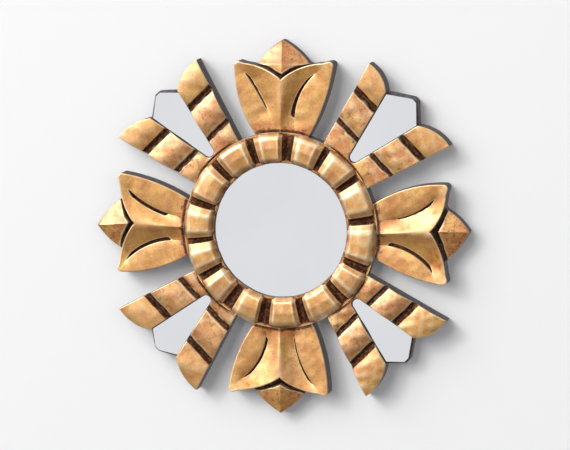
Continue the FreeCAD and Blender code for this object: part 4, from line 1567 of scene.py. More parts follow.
    def marks(self, points: Array) -> Tuple[Array, Array]:
        """Tell where the leaf is stained and aged: in slits, in the trench and at the root.

        Args:
            points: Points in the world, in millimetres.

        Returns:
            How far each lies inside a cut, and how aged it is, from 0 to 1.
        """
        local = from_world(points, self.turn)
        plan, height = local[:, :2], local[:, 2]
        inside = np.zeros(len(local))
        margin, blur = self.stain_margin
        below, top_low, top_high = self.stain_top
        for side in Side:
            outwards, share = self.slit_place(plan, side)
            width, opened = self.slit_width(side, share)
            on_side = (plan[:, 1] * side > 0) * (opened > 0)
            groove = eased(width / 2 + margin - np.abs(outwards + width / 2), 0, blur)
            deep = eased(self.hollow_height - below - height, top_low, top_high)
            inside = np.maximum(inside, on_side * groove * deep)
        brow = self.brow()
        from_brow = distance_to(plan, brow) - self.gouge_width
        brow = brow[np.argsort(brow[:, 1])]
        hair, low = self.behind_lobes
        behind = plan[:, 0] > np.interp(plan[:, 1], brow[:, 1], brow[:, 0]) + hair
        behind = behind * (height > low)
        gouged = 1 - eased(from_brow, *self.gouge_stain)
        inside = np.maximum(inside, behind * (height < self.gouge_stain_top) * gouged)
        radius = np.hypot(plan[:, 0], plan[:, 1])
        strength, start, end = self.root_stain
        root = strength * (radius > SEAT_R) * (1 - eased(radius - RING_R, start, end))
        age = 1 - eased(radius - SEAT_R, *self.root_age)
        age = np.maximum(age, self.point_age * behind)
        return np.maximum(inside, root), np.maximum(age, self.least_age)


# Fans

@dataclass
class Ray:
    """Places of one ray of a fan: its outer edge's two ends, and its shoulder by the kite."""

    tip_reach: float
    tip_span: float
    root: float
    shoulder: float


@dataclass
class Length:
    """One crowned length of a ray: where it runs, and its heights at start, crest and end."""

    start: float
    end: float
    low: float
    crest: float
    last: float

    def height(self, u: Array) -> Array:
        """Work out the height: a parabola through both ends and the crest.

        Args:
            u: Places outwards.

        Returns:
            Height at each place.
        """
        t = np.clip((u - self.start) / (self.end - self.start), 0, 1)
        swell = self.crest - (self.low + self.last) / 2
        return self.low + (self.last - self.low) * t + 4 * swell * t * (1 - t)


@dataclass
class RayFan:
    """A fan of two rays with a ledge between them that carries a kite mirror."""

    name: str
    turn: float
    rays: Dict[Side, Ray]
    shoulder_reach: float
    apex: Point
    lean: float
    grooves: Span
    seed: int

    kite_start: float = 80.0
    kite_inner_half: float = 4.6
    kite_bow: Point = (1.35, 3.25)
    apex_half: float = 2.2
    ledge_height: float = 10.5
    ledge_root: Point = (0.2, 12)
    ledge_inset: Point = (5, 0)

    groove_halves: Span = (2.5, 3.2)
    groove_floors: Span = (13.4, 12.8)
    groove_rims: Span = (15.2, 15.7)
    groove_flat: float = 0.2
    root_start: float = 76.0
    past_apex: float = 2.0
    root_heights: Triple = (15.0, 15.7, 15.0)
    middle_heights: Triple = (15.5, 17.8, 15.6)
    end_heights: Triple = (15.9, 17.3, 14.2)
    end_bow: float = 0.70
    edge_roll: float = 0.7
    camber: Span = (0.5, 2.5)
    back: float = 0.02
    knife_depth: float = 0.16
    groove_waver: float = 2.2
    groove_seed: int = 3

    across_zone: Tuple[int, float, float] = (34, 26, 1.2)
    end_zone: Tuple[int, float, float] = (26, 22, 1.2)
    row_counts: Tuple[int, int, int, int] = (16, 33, 12, 11)
    arc_counts: Tuple[int, int, int] = (60, 30, 40)
    root_counts: Tuple[int, int] = (11, 29)

    groove_stain: Span = (1.1, 2.6)
    groove_stain_floor: float = 11.0
    root_stain: Triple = (0.8, 0.6, 3.0)
    inner_age: float = 0.75
    age_lost: float = 0.67
    age_fall: Span = (-0.5, 4.5)
    groove_age: float = 0.3
    groove_age_fall: Span = (2, 6)

    def root_point(self, side: Side) -> Point:
        """Where a ray's outer edge meets the ring."""
        half = self.rays[side].root
        return math.sqrt(SEAT_R ** 2 - half ** 2), side * half

    def tip_point(self, side: Side) -> Point:
        """Outer corner of a ray's end."""
        return self.rays[side].tip_reach, side * self.rays[side].tip_span

    def shoulder_point(self, side: Side) -> Point:
        """Inner corner of a ray's end, beside the kite."""
        return self.shoulder_reach, side * self.rays[side].shoulder

    def row_at(self, side: Side, u: float) -> Array:
        """Find both ends of a straight row across a ray.

        Args:
            side: Which ray.
            u: Place of the row outwards.

        Returns:
            Its inner and its outer end.
        """
        start = self.kite_start + self.kite_inner_half
        inner_v = np.interp(u, [start, self.shoulder_reach], [
            self.lean + side * self.kite_inner_half, side * self.rays[side].shoulder])
        root, tip = self.root_point(side), self.tip_point(side)
        outer_v = root[1] + (tip[1] - root[1]) * (u - root[0]) / (tip[0] - root[0])
        return np.array([(u, inner_v), (u, outer_v)])

    def ray_plan(self, side: Side) -> Array:
        """Lay out one ray and its half of the root, from its end to the middle of the root.

        Rows are straight across the ray beside the grooves, bend to the end
        curve outside them and swing round the kite's root inside them.
        Columns run from the kite to the outer edge.

        Args:
            side: Which ray.

        Returns:
            Grid of points in the plane.
        """
        b = crowded(*self.across_zone)
        tip, shoulder = self.tip_point(side), self.shoulder_point(side)
        end_count, bow_count, base_count = self.arc_counts
        bow = (tip[0], self.end_bow * tip[1])
        end = along(arc_points(shoulder, bow, tip, end_count), b)
        (inner, outer), (inner_half, outer_half) = self.grooves, self.groove_halves
        start = self.kite_start + self.kite_inner_half
        stops = (outer + outer_half, outer - outer_half, inner + inner_half, inner - inner_half,
                 start)
        inner_end, outer_end = self.row_at(side, stops[0])
        a = crowded(*self.end_zone)[:, None, None]
        blocks = [end * (1 - a) + (inner_end + (outer_end - inner_end) * b[:, None]) * a]
        for u in stepped(*zip(stops, (0,) + self.row_counts)):
            inner_end, outer_end = self.row_at(side, float(u))
            blocks.append((inner_end + (outer_end - inner_end) * b[:, None])[None])
        bow_out, bow_aside = self.kite_bow
        inner_arc = arc_points(self.row_at(side, start)[0],
                               (self.kite_start + bow_out, self.lean + side * bow_aside),
                               (self.kite_start, self.lean), bow_count)
        v = np.linspace(self.rays[side].root, 0, base_count) * side
        base = np.stack([np.sqrt(SEAT_R ** 2 - v ** 2), v], -1)
        outer_path = joined(np.array([self.row_at(side, start)[1], self.root_point(side)]), base)
        lengths = np.linalg.norm(np.diff(outer_path, axis=0), axis=1)
        c = stepped((0, 0), (lengths[0] / lengths.sum(), self.root_counts[0]),
                    (1, self.root_counts[1]))
        inner_run, outer_run = along(inner_arc, c), along(outer_path, c)
        blocks.append(inner_run[:, None] + (outer_run - inner_run)[:, None] * b[None, :, None])
        return np.concatenate(blocks)

    def crown(self, u: Array) -> Array:
        """Work out a ray's height: three crowned lengths parted by two V grooves.

        Args:
            u: Places outwards.

        Returns:
            Height at each place.
        """
        (inner, outer), (inner_half, outer_half) = self.grooves, self.groove_halves
        lengths = (
            Length(self.root_start, inner - inner_half, *self.root_heights),
            Length(inner + inner_half, outer - outer_half, *self.middle_heights),
            Length(outer + outer_half, self.apex[0] + self.past_apex, *self.end_heights))
        height = np.full_like(u, lengths[0].low)
        for one in lengths:
            height = np.where((u >= one.start) & (u <= one.end), one.height(u), height)
        shapes = zip(self.grooves, self.groove_halves, self.groove_floors, self.groove_rims)
        for place, half, floor, rim in shapes:
            gap = np.abs(u - place) / half
            climb = np.maximum(gap - self.groove_flat, 0) / (1 - self.groove_flat)
            height = np.where(gap < 1, floor + (rim - floor) * climb, height)
        return height

    def rays_block(self) -> Object:
        """Make both rays and the root that joins them, as one horseshoe.

        Returns:
            The horseshoe.
        """
        halves = {side: self.ray_plan(side) for side in Side}
        plan = np.concatenate([halves[Side.CW], halves[Side.CCW][-2::-1]])
        u, v = plan[..., 0], plan[..., 1]
        waver = knife_waver(u, v, self.seed + self.groove_seed, self.knife_depth)
        heights = self.crown(u + self.groove_waver * waver)
        edge = np.concatenate([plan[:, -1], plan[-1, ::-1], plan[::-1, 0], plan[0]])
        heights -= rolled(distance_to(plan, edge), self.edge_roll)
        drop, power = self.camber
        heights -= drop * np.abs(2 * crowded(*self.across_zone) - 1)[None] ** power
        heights += knife_waver(u, v, self.seed, self.knife_depth)
        return new_object(self.name + "_carved", block_skin(plan, heights, self.back), self.turn)

    def ledge_block(self) -> Object:
        """Make the plate under the kite, which runs out of sight below the rays.

        Returns:
            The plate.
        """
        under = {side: (np.array(self.tip_point(side)) + self.shoulder_point(side)) / 2
                 - self.ledge_inset for side in Side}
        root, half = SEAT_R + self.ledge_root[0], self.ledge_root[1]
        reach, aside = self.apex
        outline = np.array([
            (root, half), (root, -half), under[Side.CW], self.shoulder_point(Side.CW),
            (reach, aside - self.apex_half), (reach, aside + self.apex_half),
            self.shoulder_point(Side.CCW), under[Side.CCW]])
        skin = slab_skin(outline, 0.0, self.ledge_height, Surface.PAINT)
        return new_object(self.name + "_ledge", skin, self.turn)

    def build(self, finishes: Finishes) -> None:
        """Make the fan and dress it and its kite mirror.

        Args:
            finishes: The mirror's materials.
        """
        fan = self.rays_block()
        tongue = tongue_of(self.name, FAN_TONGUE_HALF, self.turn)
        combined(fan, [self.ledge_block(), tongue], Cut.JOIN)
        finishes.dress_carving(fan, self.name, self.marks, self.turn)
        finishes.dress_node(self.name.replace("ray_fan", "kite_glass"), Slot.MIRROR)

    def marks(self, points: Array) -> Tuple[Array, Array]:
        """Tell where the leaf is stained and aged: in the V grooves and at the root.

        Args:
            points: Points in the world, in millimetres.

        Returns:
            How far each lies inside a cut, and how aged it is, from 0 to 1.
        """
        u, v, h = from_world(points, self.turn).T
        inside = np.zeros(len(u))
        margin, blur = self.groove_stain
        for place, half in zip(self.grooves, self.groove_halves):
            groove = eased(half + margin - np.abs(u - place), 0, blur)
            inside = np.maximum(inside, groove * (h > self.groove_stain_floor))
        radius = np.hypot(u, v)
        strength, start, end = self.root_stain
        root = strength * (radius > SEAT_R) * (1 - eased(radius - RING_R, start, end))
        inner, outer = self.grooves
        age = self.inner_age - self.age_lost * eased(u - outer, *self.age_fall)
        beside = np.minimum(np.abs(u - inner), np.abs(u - outer))
        age = age + self.groove_age * (1 - eased(beside, *self.groove_age_fall))
        return np.maximum(inside, root), np.clip(age, 0, 1)


# Ring

@dataclass
class CarvedRing:
    """The ring, turned and then cut into billets by V notches."""

    notch_turns: Tuple[float, ...] = (8.5, 35.5, 60.0, 85.0, 109.5, 135.5, 163.0,
                                      188.5, 212.0, 235.5, 260.0, 286.0, 314.0, 337.5)
    notch_halves: Tuple[float, ...] = (3.0, 2.6, 2.6, 4.2, 2.9, 2.8, 2.8,
                                       2.2, 2.7, 3.9, 4.2, 3.5, 3.2, 3.1)
    face: Points = ((53.5, 12.9), (53.6, 14.4), (54.5, 15.2), (56.4, 19.0),
                               (57.8, 20.2), (66.0, 20.9), (73.2, 20.3), (75.4, 19.2),
                               (77.6, 15.9), (78.0, 14.8))
    back: Points = ((78.0, 14.0), (78.0, 10.0), (78.0, 5.0), (77.7, 0.3), (77.4, 0.0),
                               (70.0, 0.0), (61.9, 0.0), (61.9, 3.0), (56.9, 3.0), (56.9, 12.5),
                               (53.5, 12.5))
    rebate_from: int = 9
    bare_from: int = 4
    leaf_from_height: float = 14.5
    face_count: int = 66
    corner_rounds: int = 2
    corner_cut: Span = (0.25, 0.5)
    middle_r: float = 66.0
    flank_half: float = 7.4
    past_flank: float = 0.6
    notch_shares: Tuple[float, ...] = (0, 0.2, 0.4, 0.6, 0.8, 0.93, 1.0, 1.07)
    flank_from: float = 1.2
    flank_count: int = 7
    billet_count: int = 10
    floor_height: float = 14.4
    flank_fall: float = 2.6
    flank_waver: Span = (-1.4, 1.6)
    notch_fall: float = 4.4
    notch_rim: float = 1.08
    billet_waver: Triple = (0.3, 0.055, 0.035)
    most_tilt: float = 0.35
    raised_range: Span = (16.2, 19.0)
    seed: int = 7
    sway: float = 0.18
    knife_seed: int = 31
    knife_depth: float = 0.10
    socket_count: int = 8

    notch_stain: Span = (1.3, 2.6)
    notch_stain_floor: float = 13.2
    pinch: Triple = (0.75, 8.0, 11.8)
    # A dark line painted along the lip's inner edge, as the shade in the gap between lip and glass
    lip_painted_shade: Gate = (0.9, 54.6, 14.0, 15.2)
    face_age: float = 0.22
    notch_age: Span = (0.8, 5.0)
    low_age: Triple = (0.75, 15.5, 19.0)

    def face_profile(self) -> Array:
        """Ease the corners of the face's profile, from the lip to the rim.

        In each round every corner is cut back by a quarter of its sides, but
        by no more than the corner cut.

        Returns:
            Radius and height of points across the face.
        """
        corners = np.array(self.face)
        share, most = self.corner_cut
        for _ in range(self.corner_rounds):
            head, tail = corners[:-1], corners[1:]
            reach = np.minimum(share, most / np.linalg.norm(tail - head, axis=1))[:, None]
            step = reach * (tail - head)
            cut = np.stack([head + step, tail - step], 1).reshape(-1, 2)
            corners = np.concatenate([corners[:1], cut, corners[-1:]])
        return along(corners, np.linspace(0, 1, self.face_count))

    def beside_notch(self, half: float) -> Array:
        """Place rows beside a notch, crowded within it, out to past its flank.

        Args:
            half: Half width of the notch.

        Returns:
            How far the rows lie from its middle.
        """
        flank = np.linspace(self.flank_from * half, self.flank_half, self.flank_count)
        return np.concatenate([half * np.array(self.notch_shares), flank,
                               [self.flank_half + self.past_flank]])

    def directions(self) -> Tuple[Array, Array, Array]:
        """Spread the grid's rows round the ring, crowded at the notches.

        Returns:
            Angle of each row, its distance from the nearest notch measured at
            the ring's middle radius, and that notch's number.
        """
        angles, gaps, notches = [], [], []
        count = len(self.notch_turns)
        for number in range(count):
            after = (number + 1) % count
            start, end = (math.radians(self.notch_turns[one]) for one in (number, after))
            end += FULL_TURN * (end < start)
            span = (end - start) * self.middle_r
            near = self.beside_notch(self.notch_halves[number])
            far = span - self.beside_notch(self.notch_halves[after])[::-1]
            billet = np.linspace(near[-1], far[0], self.billet_count)[1:-1]
            place = np.concatenate([near, billet, far])[:-1]
            angles.append(start + place / self.middle_r)
            gaps.append(np.minimum(place, span - place))
            notches.append(np.where(place < span / 2, number, after))
        return np.concatenate(angles), np.concatenate(gaps), np.concatenate(notches)

    def face_heights(self, profile: Array, angles: Array, gaps: Array, notches: Array) -> Array:
        """Work out the face's height: the turned profile, lowered towards each notch.

        A flank falls evenly from the billet's flat top to the notch's rim, and
        from there the notch falls in a V, as far as its floor. Each billet is
        a little higher or lower than the next and leans its own way.

        Args:
            profile: Radius and height across the face.
            angles: Angle of each row.
            gaps: Its distance from the nearest notch.
            notches: That notch's number.

        Returns:
            A row of heights for each angle.
        """
        draw = np.random.default_rng(self.seed)
        count = len(self.notch_turns)
        billet = np.searchsorted(np.radians(self.notch_turns), angles % FULL_TURN) % count
        lift, lean, tilt = (draw.uniform(-reach, reach, count)[billet][:, None]
                            for reach in self.billet_waver)
        middle = np.array([np.mean(angles[billet == number]) for number in range(count)])
        from_middle = turned_within(angles - middle[billet])[:, None] * self.middle_r
        tilted = np.clip(tilt * from_middle, -self.most_tilt, self.most_tilt)
        leaning = lean * (profile[None, :, 0] - self.middle_r)
        raised = eased(profile[:, 1], *self.raised_range)[None]
        turned = profile[None, :, 1] + raised * (lift + leaning + tilted)
        halves = np.array(self.notch_halves)[notches]
        waver = draw.uniform(*self.flank_waver, 2 * count)[2 * billet + (billet == notches)]
        reach = self.flank_half + waver
        flank = self.flank_fall * np.clip((reach - gaps) / (reach - halves), 0, 1)
        wall = self.notch_fall * np.clip(self.notch_rim - gaps / halves, 0, 1)
        fallen = turned - (flank + wall)[:, None]
        return np.maximum(fallen, np.minimum(turned, self.floor_height))

    def skin(self) -> Skin:
        """Make the ring's closed surface: the face's rows, carried on round its back.

        Returns:
            The surface, with leaf on its face and paint in its rebate.
        """
        profile, back = self.face_profile(), np.array(self.back)
        angles, gaps, notches = self.directions()
        heights = self.face_heights(profile, angles, gaps, notches)
        behind = np.broadcast_to(back[:, 1], (len(angles), len(back)))
        height = np.concatenate([heights, behind], 1)
        cosine, sine = np.cos(angles), np.sin(angles)
        waver = knife_waver(cosine * self.middle_r, sine * self.middle_r, self.seed, 1.0)
        sway = np.concatenate([np.full(len(profile), self.sway), np.zeros(len(back))])
        radius = np.concatenate([profile[:, 0], back[:, 0]])[None] + sway[None] * waver[:, None]
        u, v = radius * cosine[:, None], radius * sine[:, None]
        edge = len(profile)
        carved = knife_waver(u[:, :edge], v[:, :edge], self.knife_seed, 1.0)
        height[:, :edge] += self.knife_depth * carved
        points = np.stack([u, v, height], -1)
        rows, columns = points.shape[:2]
        faces = grid_faces(rows, columns, wrap_rows=True, wrap_columns=True)
        column = faces[:, 0] % columns
        lip = int(np.searchsorted(profile[:, 1], self.leaf_from_height))
        finish = np.full(len(faces), int(Surface.PAINT))
        finish[(column >= lip) & (column < edge - 1)] = int(Surface.LEAF)
        bare = (column >= edge + self.bare_from) & (column < edge + self.rebate_from)
        finish[bare] = int(Surface.BARE)
        return Skin(points.reshape(-1, 3), faces.tolist(), finish.tolist())

    def build(self, finishes: Finishes) -> None:
        """Make the ring, cut its sockets and dress it.

        Args:
            finishes: The mirror's materials.
        """
        ring = new_object("carved_ring_carved", self.skin())
        combined(ring, self.sockets(), Cut.TAKE_AWAY)
        finishes.dress_carving(ring, "carved_ring", self.marks, 90)

    def marks(self, points: Array) -> Tuple[Array, Array]:
        """Tell where the leaf is stained and aged in the V notches, and where shade is painted on
        the lip.

        Args:
            points: Points in the world, in millimetres.

        Returns:
            How far each lies inside a cut, and how aged it is, from 0 to 1.
        """
        angle = np.arctan2(points[:, 2], points[:, 0])
        radius, height = np.hypot(points[:, 0], points[:, 2]), -points[:, 1]
        inside, age = np.zeros(len(points)), np.full(len(points), self.face_age)
        margin, blur = self.notch_stain
        strength, fade = self.notch_age
        for turn, half in zip(self.notch_turns, self.notch_halves):
            gap = np.abs(turned_within(angle - math.radians(turn))) * self.middle_r
            inside = np.maximum(inside, eased(half + margin - gap, 0, blur))
            age = np.maximum(age, strength * (1 - eased(gap, half, half + fade)))
        lost, start, end = self.pinch
        inside *= 1 - lost * eased(np.abs(radius - self.middle_r), start, end)
        inside *= height > self.notch_stain_floor
        # Paint shade as a dark line along the lip's inner edge, in the gap above the glass
        strength, reach, start, end = self.lip_painted_shade
        lip = strength * (radius < reach) * (1 - eased(height, start, end))
        strength, start, end = self.low_age
        low = strength * (1 - eased(height, start, end))
        return np.maximum(inside, lip), np.maximum(age, low)

    def sockets(self) -> List[Object]:
        """Make blocks that stand for the housings of the tongues.

        Returns:
            The blocks.
        """
        blocks = []
        for number in range(self.socket_count):
            half = (PETAL_TONGUE_HALF, FAN_TONGUE_HALF)[number % 2] + SOCKET_GAP
            outline = plank(RING_R - TONGUE_LENGTH - SOCKET_GAP, RING_R + OVERRUN, half)
            skin = slab_skin(outline, -OVERRUN, SOCKET_DEPTH, Surface.BARE)
            turn = math.degrees(FULL_TURN) / self.socket_count * number
            blocks.append(new_object(f"socket_{number}", skin, turn))
        return blocks


# Fixings and hanger

@dataclass
class Fixings:
    """Slotted screws through the tongues and plain nails round the back board."""

    screw_count: int = 8
    nail_count: int = 4
    nail_place: float = 59.4
    screw: Points = ((0, 0.12), (2.7, 0.12), (3.0, 0.4), (3.0, 1.72), (1.5, 1.78),
                                (1.5, 10.6), (0.2, 12.0), (0, 12.0))
    screw_slot: Point = (0.4, 0.8)
    screw_faces: int = 32
    nail: Points = ((0, 0.08), (1.15, 0.08), (1.4, 0.25), (1.4, 0.5), (0.7, 0.6),
                               (0.7, 7.6), (0.08, 9.0), (0, 9.0))
    slot_reach: float = 5.0

    def ring_of(self, name: str, single: Skin, count: int) -> Object:
        """Repeat one fixing round the ring's axis.

        Args:
            name: Name of the whole group.
            single: The first fixing.
            count: How many there are.

        Returns:
            All of them as one object.
        """
        whole: Optional[Skin] = None
        u, v, h = single.points.T
        for number in range(count):
            turned = np.stack([*spun(u, v, FULL_TURN * number / count), h], -1)
            copy = Skin(turned, single.faces, single.finishes)
            whole = whole.joined_to(copy) if whole else copy
        return new_object(name, whole)

    def slotted(self, name: str, profile: Sequence[Point], place: float, slot: Point) -> Skin:
        """Turn a screw and cut the slot across its head.

        Args:
            name: Name of the work in hand.
            profile: Radius and height, from the head's face to the tip.
            place: How far out it stands.
            slot: Half width and depth of the slot.

        Returns:
            The slotted screw in its own plane.
        """
        screw = new_object(name, turned_skin(profile, place, self.screw_faces))
        half, depth = slot
        outline = plank(place - self.slot_reach, place + self.slot_reach, half)
        low = profile[0][1]
        skin = slab_skin(outline, low - OVERRUN, low + depth, Surface.LEAF)
        combined(screw, [new_object(name + "_slot", skin)], Cut.TAKE_AWAY)
        points = from_world(mesh_array(screw.data.vertices, "co", 3) / MILLIMETRE, 0)
        faces = [tuple(face.vertices) for face in screw.data.polygons]
        removed(screw)
        return Skin(points, faces, [int(Surface.LEAF)] * len(faces))

    def build(self, finishes: Finishes) -> None:
        """Make both rings of fixings.

        Args:
            finishes: The mirror's materials.
        """
        screw = self.slotted("screw", self.screw, SCREW_PLACE, self.screw_slot)
        screws = self.ring_of("tongue_screws_turned", screw, self.screw_count)
        finishes.dress_metal(screws, "tongue_screws", Slot.FIXING)
        nail = turned_skin(self.nail, self.nail_place)
        nails = self.ring_of("back_board_nails_turned", nail, self.nail_count)
        finishes.dress_metal(nails, "back_board_nails", Slot.FIXING)


@dataclass
class Hanger:
    """D-ring of bent wire in a folded strap, sunk into the back of the top petal."""

    turn: float = 90.0
    recess: Triple = (82.5, 109.5, 11.0)
    recess_depth: float = 4.2
    pilot: Triple = (1.3, 3, 12)
    hinge: Point = (96.5, 2.3)
    hinge_gap: float = 0.1
    wire_r: float = 1.0
    wire_faces: int = 20
    bend_r: float = 2.0
    bar_half: float = 7.0
    bar_count: int = 12
    bend_count: int = 14
    bow_count: int = 60
    lean: float = 3.0
    strap_half: float = 4.5
    strap_length: float = 13.0
    strap_thickness: float = 0.8
    strap_bevel: float = 0.15
    strap_skin: float = 0.02
    strap_counts: Tuple[int, int] = (24, 40)
    curl: float = 285.0
    screw_place: float = 88.5
    screw_hole: Triple = (1.4, 2, 6)
    screw_head: Points = ((0, -1.1), (1.5, -1.1), (2.3, -0.75), (2.6, -0.2),
                                     (2.6, -0.02), (1.2, 0))
    screw_shank: Points = ((1.2, 9.2), (0.1, 10.3), (0, 10.3))
    screw_slot: Point = (0.35, 0.6)

    def bore(self, name: str, sizes: Triple) -> Object:
        """Solid that drills a hole at the screw's place.

        Args:
            name: Name of the work in hand.
            sizes: Radius of the hole, and the heights that it runs between.

        Returns:
            The solid.
        """
        radius, low, high = sizes
        profile = [(0, low), (radius, low), (radius, high), (0, high)]
        skin = turned_skin(profile, self.screw_place, finish=Surface.BARE)
        return new_object(name, skin, self.turn)

    def cuts(self) -> List[Object]:
        """Make solids to cut out of the petal: the recess and the screw's pilot.

        Returns:
            Both solids.
        """
        pocket = slab_skin(plank(*self.recess), -OVERRUN, self.recess_depth, Surface.BARE)
        return [new_object("hanger_recess", pocket, self.turn),
                self.bore("hanger_pilot", self.pilot)]

    def wire_path(self) -> Array:
        """Trace the middle line of the D-ring, closed: a bar, two bends and a half circle.

        Returns:
            Points of u, v and h.
        """
        bow_r, half, bend = self.bar_half + self.bend_r, self.bar_half, self.bend_r
        eighth = math.sqrt(0.5)
        mid_u, mid_v = (1 - eighth) * bend, half + eighth * bend
        flat = joined(
            np.array([(0.0, -half), (0.0, half)]),
            arc_points((0, half), (mid_u, mid_v), (bend, bow_r), self.bend_count),
            arc_points((bend, bow_r), (bend + bow_r, 0), (bend, -bow_r), self.bow_count),
            arc_points((bend, -bow_r), (mid_u, -mid_v), (0, -half), self.bend_count),
        )[:-1]
        flat = np.concatenate([along(flat[:2], np.linspace(0, 1, self.bar_count)), flat[2:]])
        u, h = spun(flat[:, 0], 0, math.radians(self.lean))
        return np.stack([self.hinge[0] + u, flat[:, 1], self.hinge[1] + h], -1)

    def strap(self) -> Object:
        """Fold the strap round the bar: a flat strip that curls on past three quarters of a turn.

        Returns:
            The strap, with its screw's hole.
        """
        reach, bar_h = self.hinge
        flat_count, curl_count = self.strap_counts
        middle_r = self.wire_r + self.hinge_gap + self.strap_thickness / 2
        flat = np.stack([np.linspace(reach - self.strap_length, reach, flat_count),
                         np.full(flat_count, bar_h + middle_r)], -1)
        upright = HALF_TURN / 2
        turn = np.linspace(upright, upright - math.radians(self.curl), curl_count)
        curl = np.stack([reach + middle_r * np.cos(turn), bar_h + middle_r * np.sin(turn)], -1)
        run = joined(flat, curl)
        path = np.stack([run[:, 0], np.zeros(len(run)), run[:, 1]], -1)
        half, thick = self.strap_half, self.strap_thickness / 2 - self.strap_skin
        inner_half, inner_thick = half - self.strap_bevel, thick - self.strap_bevel
        section = np.array([(half, -inner_thick), (half, inner_thick), (inner_half, thick),
                            (-inner_half, thick), (-half, inner_thick), (-half, -inner_thick),
                            (-inner_half, -thick), (inner_half, -thick)])
        skin = swept_skin(path, np.array([0.0, 1.0, 0.0]), section, False)
        strap = new_object("hanger_strap_folded", skin, self.turn)
        combined(strap, [self.bore("strap_hole", self.screw_hole)], Cut.TAKE_AWAY)
        return strap

    def build(self, finishes: Finishes) -> None:
        """Make the ring, the strap and its screw.

        Args:
            finishes: The mirror's materials.
        """
        angle = np.linspace(0, FULL_TURN, self.wire_faces, endpoint=False)
        circle = self.wire_r * np.stack([np.cos(angle), np.sin(angle)], -1)
        lean = math.radians(self.lean)
        upright = np.array([-math.sin(lean), 0, math.cos(lean)])
        skin = swept_skin(self.wire_path(), upright, circle, True)
        wire = new_object("hanger_ring_bent", skin, self.turn)
        finishes.dress_metal(wire, "hanger_ring", Slot.HANGER, "hanger_ring")
        finishes.dress_metal(self.strap(), "hanger_strap", Slot.HANGER)
        top = self.recess_depth - self.strap_thickness
        profile = [(radius, top + height) for radius, height in self.screw_head]
        profile += self.screw_shank
        skin = Fixings().slotted("hanger_screw_work", profile, self.screw_place, self.screw_slot)
        screw = new_object("hanger_screw_turned", skin, self.turn)
        finishes.dress_metal(screw, "hanger_screw", Slot.FIXING)


# Stage

@dataclass
class Lamp:
    """A soft square light."""

    name: str
    place: Place
    size: float
    energy: float
    colour: Colour


